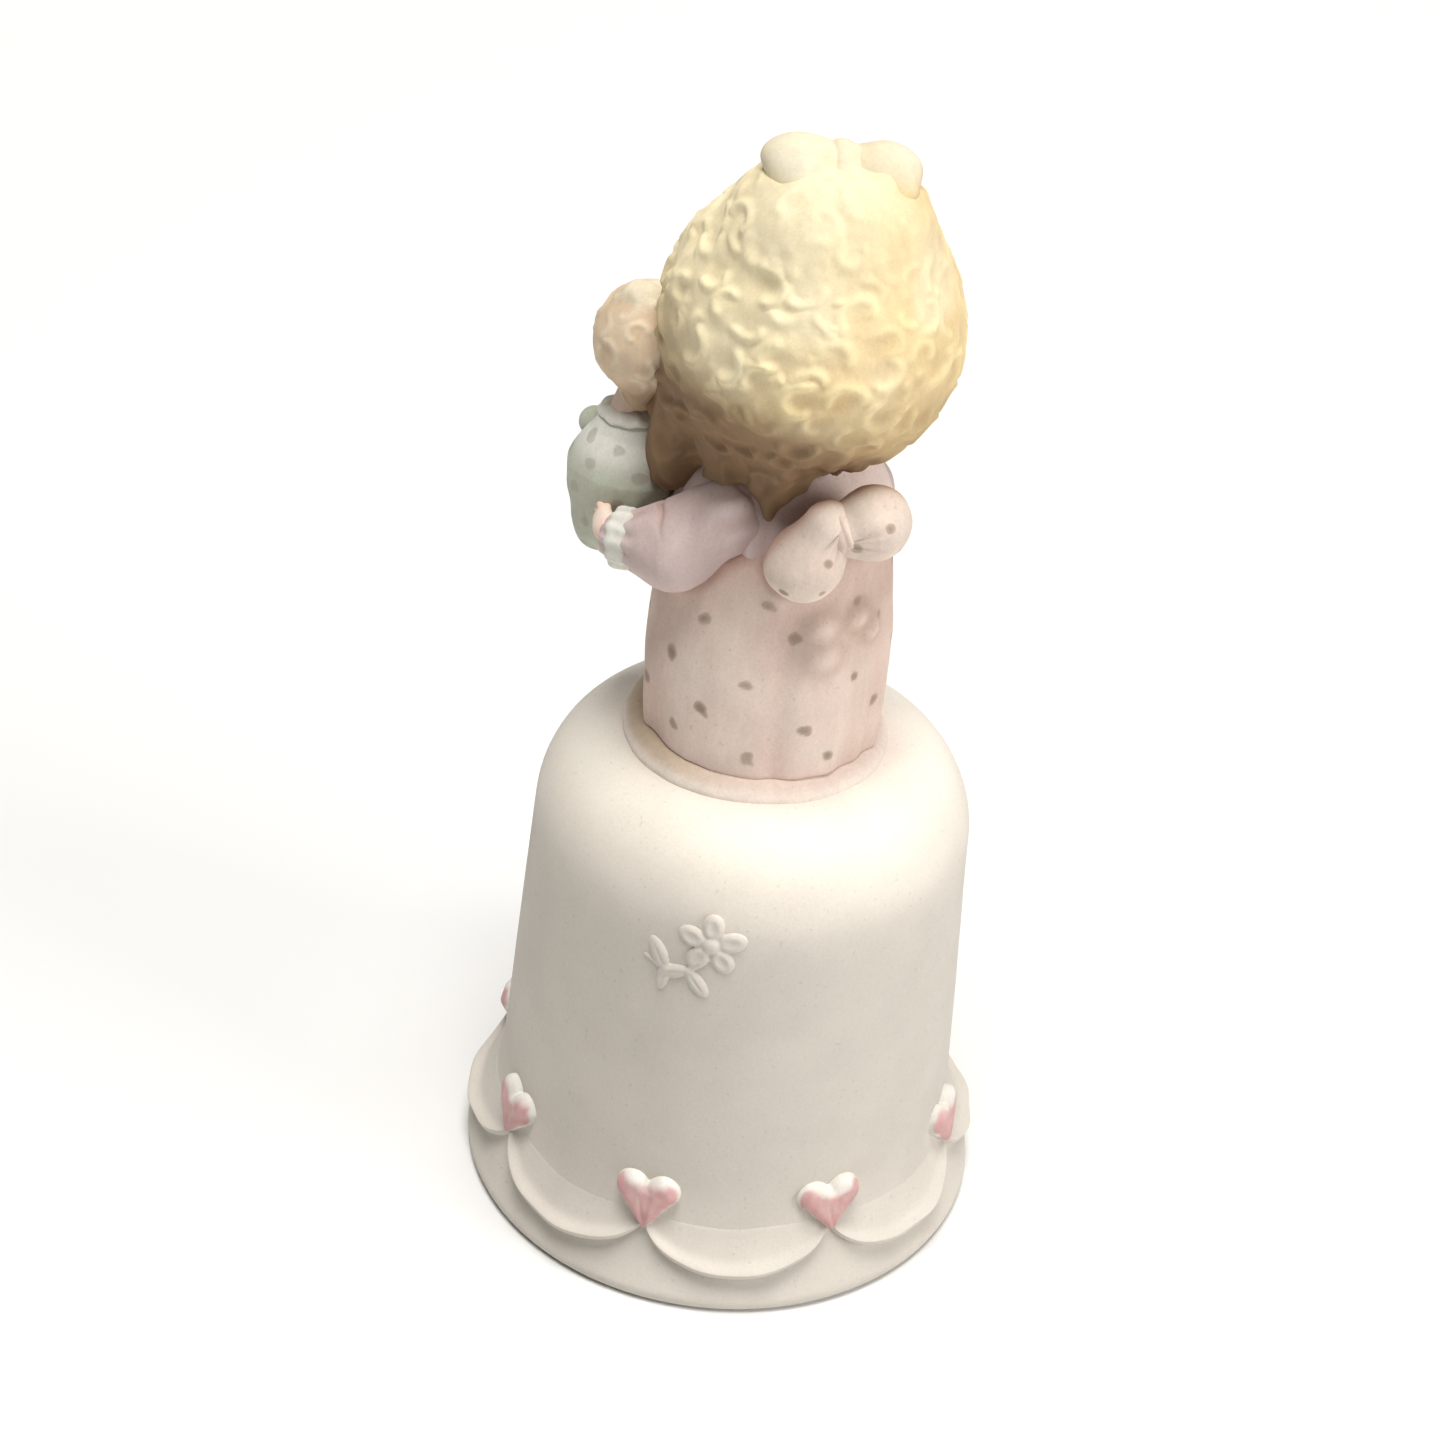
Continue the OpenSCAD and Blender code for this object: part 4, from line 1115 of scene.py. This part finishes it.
def build_hair():
    f, d = hair_shape()
    p, quads = f.surface(d)
    q = p - HEAD_C
    shell = step(HAIR_R - 3.2, HAIR_R - 1.6, np.linalg.norm(q, axis=1))
    crown = step(0.3, 0.85, unit(q) @ unit((-0.35, 0.4, 0.85)))
    worn = (1 - 0.62 * crown) * (0.8 + 0.2 * step(-0.6, 0.6, noise(p, 9, 90)))
    warp = np.stack([noise(p, 4.5, 200 + k) for k in range(3)], 1)
    relief = curls(p + 0.3 * warp, HEAD_C, HAIR_MEAN_R, 3.95, 2.6, 0.56, 91) * shell * worn
    wavy = 24 * np.arctan2(q[:, 1], q[:, 0]) + 1.3 * np.sin(0.6 * q[:, 2]) + noise(p, 3, 95)
    strands = 0.22 * np.sin(wavy) * step(-10.5, -14, q[:, 2])
    p = swell(p, quads, relief + 0.04 * noise(p, 1.1, 92) + 0.16 * noise(p, 3.4, 93) + strands - 0.2)
    way = unit(q)
    # painted shade underneath, low at the back and beside the doll's head
    under = step(0.52, 0.8, way @ unit((0.46, 0.21, -0.86)))
    under = under + step(-11, -15, q[:, 2]) * step(-7, -1, q @ BACK_SIDE)
    doll_gap = np.linalg.norm(p - DOLL_HEAD, axis=1) - DOLL_HEAD_R
    under = under + step(8.5, 1.5, doll_gap) * step(8, -2, p[:, 2] - DOLL_HEAD[2])
    # painted light on the curls' ridges and the upper left; painted shade in the hollows, towards the bottom
    # and on the lower doll side
    tint = layered(
        BLONDE_IN_SHADE,
        (BLONDE, np.clip(0.6 + relief / 0.7, 0, 1)),
        (rgb(248, 238, 212), 0.35 * step(0.2, 1, noise(p, 8, 94) + 0.3)),
        (rgb(255, 243, 206), 0.7 * step(0.3, 0.95, way @ unit((0.72, 0.15, 0.68)))),
        (BLONDE_IN_SHADE * 0.72, 0.88 * step(2, -10, q[:, 2])),
        (BLONDE_IN_SHADE * 0.6, 0.7 * step(0.55, 0.95, way @ unit((0.85, -0.2, -0.5)))),
        (rgb(138, 108, 80) * (1 - 0.5 * strands[:, None]), np.clip(0.85 * under, 0, 0.88)),
    )
    make("curls", "hair", p, quads, tint, hair_paint, "hair_paint")


# side, piece, CAD node, offset and radii of the loop, drop and radii of its root in the hair, and the gold of
# its painted shade
HAIR_LOOPS = (
    (1, "ribbon_loop_left", "hair_bow_left_loop",
     (4.8, 0, 0.1), (3.8, 2.9, 2.2), -1.5, (3.3, 3.1, 1.8), IVORY_GOLD),
    (-1, "ribbon_loop_right", "hair_bow_right_loop",
     (-5.3, 0, -0.6), (3.2, 2.9, 2.2), -2.6, (3.6, 3.4, 2.0), rgb(232, 200, 144)),
)


def build_hair_bow():
    """Two plump loops and a low knot that slope smoothly into the hair behind."""
    centre = middle("hair_bow_knot") + (0, -0.4, -0.2)
    left, back, _ = HEAD_AXES
    for side, name, node, offset, radii, drop, root_radii, painted_shade_gold in HAIR_LOOPS:
        c = centre + side * 5.3 * left
        f = Field(c - (7.5, 7.5, 8.2), c + (7.5, 7.5, 6.8), 0.14)
        tilted = np.array([unit(left + 0.1 * side * UP), back, UP])
        d = f.egg(centre + offset @ HEAD_AXES, radii, tilted)
        d = join(d, f.egg(centre + side * 2.2 * left - 0.6 * UP, (3.2, 2.6, 1.9), HEAD_AXES), 1.6)
        d = join(d, f.egg(centre + (side * 4.3, 2.2, drop) @ HEAD_AXES, root_radii, HEAD_AXES), 2.4)
        p, quads = f.surface(d)
        q = (p - centre) @ HEAD_AXES.T
        fan = np.arctan2(q[:, 2] + 0.8, side * q[:, 0] + 1.0)
        crease = -0.12 * (bump(fan - 0.5, 0.16) + bump(fan + 0.1, 0.16)) * step(5.5, 2, np.abs(q[:, 0]))
        p = swell(p, quads, crease + 0.14 * noise(p, 2.8, 95))
        # painted shade: gold in the creases and on the underside
        gold = -1.4 * crease + 0.1 + 0.85 * step(0.3, -3.0, q[:, 2]) + 0.15 * noise(p, 2, 96)
        tint = layered(IVORY, (painted_shade_gold, np.clip(gold, 0, 0.95)))
        make(name, node, p, quads, tint, hair_paint, "hair_bow_paint")
    f = Field(centre - 5.5, centre + 5.5, 0.13)
    d = f.egg(centre - 0.5 * UP, (2.6, 2.6, 2.3), HEAD_AXES)
    d = join(d, f.egg(centre + 2.2 * back - 2.2 * UP, (3.2, 3.0, 2.2), HEAD_AXES), 2)
    p, quads = f.surface(d)
    q = (p - centre) @ HEAD_AXES.T
    crease = -0.12 * bump(np.abs(q[:, 0]) - 1.1, 0.3) * step(-1.5, 0.5, q[:, 2])
    p = swell(p, quads, crease + 0.08 * noise(p, 1.8, 97))
    # painted shade: gold in the creases and on the underside
    tint = layered(IVORY, (IVORY_GOLD, np.clip(0.12 - 2.4 * crease + 0.8 * step(0.3, -3.0, q[:, 2]), 0, 1)))
    make("ribbon_knot", "hair_bow_knot", p, quads, tint, hair_paint, "hair_bow_paint")


# ---------------------------------------------------------------- doll
DOLL_TURN = math.radians(-35)


def build_doll_head():
    c, r = DOLL_HEAD, DOLL_HEAD_R
    f = Field(c - r - (3, 3, 5), c + r + 3, 0.14)
    d = f.ball(c, r)
    for s in (-1, 1):
        d = join(d, f.egg(c + (s * 2.7, -4.1, -1.8), (1.8, 1.6, 1.6)), 0.9)
    d = join(d, f.ball(c + (0, -r, -1.0), 0.6), 0.6)
    throat = turned(DOLL_BASE + (DOLL_NECK_Z - 0.8) * UP, c, -DOLL_TURN)
    d = join(d, f.bone(c - 3 * UP, throat, 1.8, 2.0), 1.2)
    p, quads = f.surface(d)
    q = p - c
    front = step(-2.5, -3.5, q[:, 1])
    tint = mottled(rgb(244, 220, 200), rgb(236, 204, 180), p, 2.5, 101, 0.4, 0.4)
    smile = [(x, 0.35 * x * x - 2.75) for x in np.linspace(-1.2, 1.2, 5)]
    for s in (-1, 1):
        eye = np.hypot(q[:, 0] - s * 1.95, q[:, 2] + 0.2)
        cheek = np.hypot(q[:, 0] - s * 3.2, q[:, 2] + 2.0)
        tint = layered(
            tint,
            (rgb(74, 56, 48), step(0.58, 0.42, eye) * front),
            (rgb(228, 152, 142), 0.6 * bump(cheek, 1.3) * front),
        )
    tint = layered(tint, (rgb(192, 100, 92), 0.85 * stroke(q, smile, 0.2) * front))
    for s in (-1, 1):
        brow = [(s * 1.3, 1.15), (s * 2.0, 1.4), (s * 2.8, 1.1)]
        tint = layered(tint, (rgb(176, 136, 96), 0.7 * stroke(q, brow, 0.2) * front))
    make("doll_face", "doll_head", turned(p, c, DOLL_TURN), quads, tint, skin_paint, "doll_skin_paint")


def build_doll_hair():
    c, r = DOLL_HEAD, DOLL_HEAD_R
    f = Field(c - r - 3.4, c + r + 3.4, 0.16)
    d = f.egg(c + (0, 0.4, 0.3), (r + 0.5, r + 0.5, r + 0.6))
    d = join(d, f.egg(c + (1.2, 1.2, r + 0.3), (1.9, 1.6, 1.3)), 1.2)
    d = cut(d, f.egg(c + (0, -r - 0.6, -1.6), (4.4, 4.9, 4.4)), 0.8)
    d = cut(d, f.half(c - 4.6 * UP, UP), 0.8)
    d = join(d, f.bone(c + (0, 2.6, -3.2), c + (0.1, 2.3, -5.6), 2.8, 2.1), 1.0)
    p, quads = f.surface(d)
    outer_skin = step(r - 0.8, r + 0.2, np.linalg.norm(p - c, axis=1))
    relief = curls(p, c, DOLL_HAIR_MEAN_R, 3.2, 1.9, 0.2, 103) * outer_skin
    p = swell(p, quads, relief + 0.14 * noise(p, 2.4, 104) - 0.05)
    z = p[:, 2] - c[2]
    # painted light on the curls' ridges and painted shade towards the bottom under the head
    tint = layered(
        rgb(222, 196, 164),
        (rgb(240, 222, 196), np.clip(0.4 + 2.4 * relief + 0.2 * noise(p, 4, 112), 0, 1)),
        (IVORY, 0.8 * step(r - 0.6, r + 0.6, z)),
        (rgb(172, 142, 112), 0.8 * step(-2.2, -5.0, z)),
    )
    make("doll_curls", "doll_hair", turned(p, c, DOLL_TURN), quads, tint, hair_paint, "doll_hair_paint")


def build_doll_gown():
    low, high = DOLL_BASE + DOLL_HEM_Z * UP, DOLL_BASE + DOLL_NECK_Z * UP
    f = Field(low - (8.5, 8.5, 1.5), high + (8.5, 8.5, 1.5), 0.15)
    spine = [low + 5.8 * UP, low + 11.4 * UP, high + (-0.6, -0.2, -3.2)]
    p, quads = f.surface(f.chain(spine, [5.6, 5.8, 3.7], 2.2))
    a = np.arctan2(p[:, 1] - low[1], p[:, 0] - low[0])
    t = (p[:, 2] - low[2]) / (high[2] - low[2])
    pleat = 0.2 * np.cos(9 * a + 0.9 * noise(p, 3, 105)) * step(0.8, 0.1, t)
    p = swell(p, quads, pleat + 0.12 * noise(p, 2.6, 106))
    spots = []
    pick = np.random.default_rng(9)
    for row, (r, height) in enumerate(((5.0, 2.4), (5.8, 6.0), (5.9, 9.8), (5.8, 13.4), (4.6, 16.4))):
        for k in range(6):
            a = (k + 0.5 * (row % 2) + pick.uniform(-0.15, 0.15)) * TAU / 6
            spots.append(low + (r * math.cos(a), r * math.sin(a), height + pick.uniform(-0.6, 0.6)))
    # painted shade in the hollows of the pleats
    tint = layered(
        GREEN,
        (rgb(190, 190, 172), np.clip(0.3 - 1.2 * pleat + 0.25 * noise(p, 3, 107), 0, 0.9)),
        (WHITE, 0.85 * step(high[2] - 7.0, high[2] - 2.8, p[:, 2])),
        (rgb(170, 162, 146), 0.5 * dots(p, spots, 0.8, 108)[0]),
    )
    make("doll_gown", "doll_dress", p, quads, tint, doll_paint, "doll_dress_paint")


def build_doll_ruffle():
    wave = 0.22 * np.sin(10 * angles(240))
    c = DOLL_BASE + (-0.5, -0.2, DOLL_NECK_Z - 0.2)
    p, quads = ruffle(c, 22, 2.6, 1.0, 0.55, wave, 0.08, 0.6, 0.7)
    p = swell(p, quads, 0.06 * noise(p, 1.6, 113))
    tint = mottled(WHITE, rgb(218, 216, 204), p, 1.5, 109)
    make("doll_ruffle", "doll_collar", p, quads, tint, doll_paint, "white_paint")


def build_doll_limbs():
    arms, shoes = [], []
    for s in (-1, 1):
        root, end = DOLL_BASE + (s * 4.0, -3.0, 99.0), DOLL_BASE + (s * 3.4, -6.6, 96.0)
        f = Field(np.minimum(root, end) - 3, np.maximum(root, end) + 3, 0.13)
        d = join(f.bone(root, end, 1.8, 1.35), f.ball(end + 0.9 * unit(end - root), 1.1), 0.3)
        p, quads = f.surface(d)
        t, a = around_axis(p, root, end)
        p = swell(p, quads, 0.12 * np.cos(7 * a) * bump(t - 0.95, 0.2) - 0.2 * bump(t - 1.0, 0.07))
        tint = layered(GREEN, (rgb(240, 214, 192), step(0.98, 1.06, t)))
        arms.append((turned(p, DOLL_BASE, DOLL_TURN), quads, tint))

        ankle = DOLL_BASE + (s * 2.3, -2.8, DOLL_HEM_Z + 0.6)
        f = Field(ankle - (3, 6, 3), ankle + (3, 3, 3), 0.13)
        d = f.bone(ankle, ankle + (0, -2.4, -0.4), 1.5, 1.45)
        p, quads = f.surface(join(d, f.egg(ankle + (0, -2.8, 0.1), (1.6, 1.5, 1.7)), 0.6))
        tint = mottled(WHITE, rgb(206, 196, 184), p, 1.5, 110, 0.3, 0.4)
        shoes.append((turned(p, DOLL_BASE, DOLL_TURN), quads, tint))
    make("doll_sleeves", "doll_arms", *merge(arms), doll_paint, "doll_dress_paint")
    make("doll_shoes", "doll_feet", *merge(shoes), doll_paint, "white_paint")


# ---------------------------------------------------------------- clapper
X_AXIS, Y_AXIS = np.array([1.0, 0, 0]), np.array([0, 1.0, 0])


def wire(line, side, closed=False):
    """Round wire along a line of points in the plane that side stands square to."""
    line = np.asarray(line, float)
    along = unit(np.roll(line, -1, 0) - np.roll(line, 1, 0) if closed else np.gradient(line, axis=0))
    a = angles(20)[:, None]
    rings = line[:, None] + WIRE_R * (np.cos(a) * side + np.sin(a) * unit(np.cross(along, side))[:, None])
    if closed:
        return facing_out(rings.reshape(-1, 3), ring_mesh(*rings.shape[:2]))
    return tube(rings)


def upright_arc(c, r, across, a0=0.0, a1=TAU, n=72):
    """Points of an upright arc from a0 to a1. A whole turn leaves out the repeated end."""
    a = np.linspace(a0, a1, n, endpoint=a1 - a0 < TAU)[:, None]
    return c + r * (np.cos(a) * across + np.sin(a) * UP)


def build_eyed_wire(name, node, body, end):
    """A straight wire with a round eye at its upper end (1) or its lower end (-1)."""
    low, high = span(node)
    r = half_width(node) - WIRE_R
    eye_z, far_z = (high[2] - WIRE_R - r, low[2]) if end > 0 else (low[2] + WIRE_R + r, high[2])
    stem = np.linspace((eye_z - end * r) * UP, far_z * UP, 12)
    eye = wire(upright_arc(eye_z * UP, r, X_AXIS), Y_AXIS, True)
    make(name, node, *merge([(*eye, CREAM), (*wire(stem, Y_AXIS), CREAM)]), steel_wire, "steel_wire", body)


def build_link():
    low, high = span("hanger_link")
    c = (low + high) / 2
    r = (high[1] - low[1]) / 2 - WIRE_R
    half = (high[2] - low[2]) / 2 - WIRE_R - r
    top = upright_arc(c + half * UP, r, Y_AXIS, 0, math.pi, 40)
    bottom = upright_arc(c - half * UP, r, Y_AXIS, math.pi, TAU, 40)
    p, quads = wire(np.concatenate([top, bottom]), X_AXIS, True)
    make("wire_link", "hanger_link", p, quads, CREAM, steel_wire, "steel_wire", "hanger")


def build_bead():
    """The porcelain bead, a ball with a short neck, and the peened end of the wire below it."""
    low, high = span("clapper_bead")
    r = half_width("clapper_bead")
    c = low[2] + r
    section = np.concatenate([
        [[WIRE_R, low[2] + 0.7], [1.9, low[2] + 0.7], [1.9, low[2] + 0.35]],
        arc((0, c), r, -71, 42, 60),
        [[3.0, c + r * 0.86], [2.1, c + r * 1.12], [1.6, high[2] - 0.5]],
        arc((1.2, high[2] - 0.4), 0.4, 0, 90, 5),
        [[WIRE_R, high[2]]],
    ])
    p, quads = lathe(section, 160)
    p = swell(p, quads, 0.04 * noise(p, 2.5, 121))
    tint = mottled(CREAM, WARM, p, 3, 122)
    make("porcelain_bead", "clapper_bead", p, quads, tint, bell_bisque, "bell_bisque", "clapper")

    low, high = span("bead_stop")
    r, soft = half_width("bead_stop"), 0.3
    section = np.concatenate([
        [[0.02, low[2] - 0.25], [r * 0.4, low[2] - 0.2]],
        arc((r - soft, low[2] + soft), soft, -80, 0, 6),
        arc((r - soft, high[2] - soft), soft, 0, 90, 6),
        [[0.02, high[2]]],
    ])
    make("peened_end", "bead_stop", *lathe(section, 64), CREAM, steel_wire, "steel_wire", "clapper")


def build_cement():
    """The plaster that holds the eye in its socket, rough where it shows."""
    low, high = span("eye_cement")
    section = np.concatenate([
        [[WIRE_R, high[2]], [2.15, high[2]], [2.15, low[2] + 0.7]],
        arc((1.5, low[2] + 0.75), 0.75, -10, -80, 8),
        [[WIRE_R, low[2] + 0.1]],
    ])
    p, quads = lathe(section, 96)
    p = swell(p, quads, 0.12 * noise(p, 0.9, 123) * step(high[2] - 3, low[2], p[:, 2]))
    tint = mottled(rgb(214, 208, 196), rgb(176, 168, 152), p, 1, 124, 0.5, 0.5)
    make("plaster_plug", "eye_cement", p, quads, tint, cement_paint, "cement")


build_bell()
build_swags()
build_hearts()
build_blossom()
build_plinth()
build_skirt()
build_bodice()
for side in ARMS:
    build_sleeve(side)
    build_hand(side)
for lobe in LOBES:
    build_sash_loop(*lobe)
build_sash_knot()
build_collar()
build_head()
build_hair()
build_hair_bow()
build_doll_head()
build_doll_hair()
build_doll_gown()
build_doll_ruffle()
build_doll_limbs()
build_eyed_wire("crown_eye", "clapper_eye", "bell", -1)
build_link()
build_eyed_wire("clapper_rod", "clapper_wire", "clapper", 1)
build_bead()
build_cement()

# ---------------------------------------------------------------- camera, floor and light
scene = bpy.context.scene
TARGET = Vector((0, 0, 70.4)) * MM  # half the object's height
DISTANCE = 384 * MM
AZIMUTH, ELEVATION, ROLL = 150, 34.3, math.radians(6.3)
LENS, SHIFT = 82.04, (-0.0305, -0.0265)
FLOOR_SIZE = 3.0


def looking_in(azimuth, elevation, far):
    """Placement that looks at the bell from far off. Azimuth 0 is the -Y side, and 90 is the +X side."""
    a, e = math.radians(azimuth), math.radians(elevation)
    back = Vector((math.sin(a) * math.cos(e), -math.cos(a) * math.cos(e), math.sin(e)))
    return Matrix.Translation(TARGET + back * far) @ back.to_track_quat("Z", "Y").to_matrix().to_4x4()


camera = bpy.data.objects.new("camera", bpy.data.cameras.new("camera"))
scene.collection.objects.link(camera)
camera.data.lens = LENS
camera.data.sensor_width = 36
camera.data.shift_x, camera.data.shift_y = SHIFT
camera.data.clip_start, camera.data.clip_end = 0.01, 10
camera.matrix_world = looking_in(AZIMUTH, ELEVATION, DISTANCE) @ Matrix.Rotation(ROLL, 4, "Z")
scene.camera = camera

floor_mesh = bpy.data.meshes.new("floor")
floor_corners = [(x * FLOOR_SIZE, y * FLOOR_SIZE, 0) for x, y in ((-1, -1), (1, -1), (1, 1), (-1, 1))]
floor_mesh.from_pydata(floor_corners, [], [(0, 1, 2, 3)])
floor = bpy.data.objects.new("floor", floor_mesh)
scene.collection.objects.link(floor)
paper, _, paper_shader = blank("paper")
paper_shader.inputs["Base Color"].default_value = (0.815, 0.815, 0.81, 1)
paper_shader.inputs["Roughness"].default_value = 0.9
floor_mesh.materials.append(paper)


def soft_light(name, azimuth, elevation, far, width, power, colour):
    """A square area light that faces the bell."""
    data = bpy.data.lights.new(name, "AREA")
    data.shape, data.size, data.energy, data.color = "SQUARE", width, power, colour
    light = bpy.data.objects.new(name, data)
    light.matrix_world = looking_in(azimuth, elevation, far)
    scene.collection.objects.link(light)


soft_light("key", 142, 81, 2.5, 1.2, 70.0, (1.0, 0.982, 0.95))
soft_light("side", 217, 21, 1.3, 0.6, 8.3, (1.0, 0.985, 0.96))
soft_light("back", 330, 42, 0.9, 0.6, 1.6, (1.0, 0.985, 0.965))

world = bpy.data.worlds.new("studio")
scene.world = world
world.use_nodes = True
sky = world.node_tree.nodes["Background"]
sky.inputs["Color"].default_value = (0.96, 0.98, 1.0, 1)
sky.inputs["Strength"].default_value = 0.07
scene.view_settings.view_transform = "Standard"
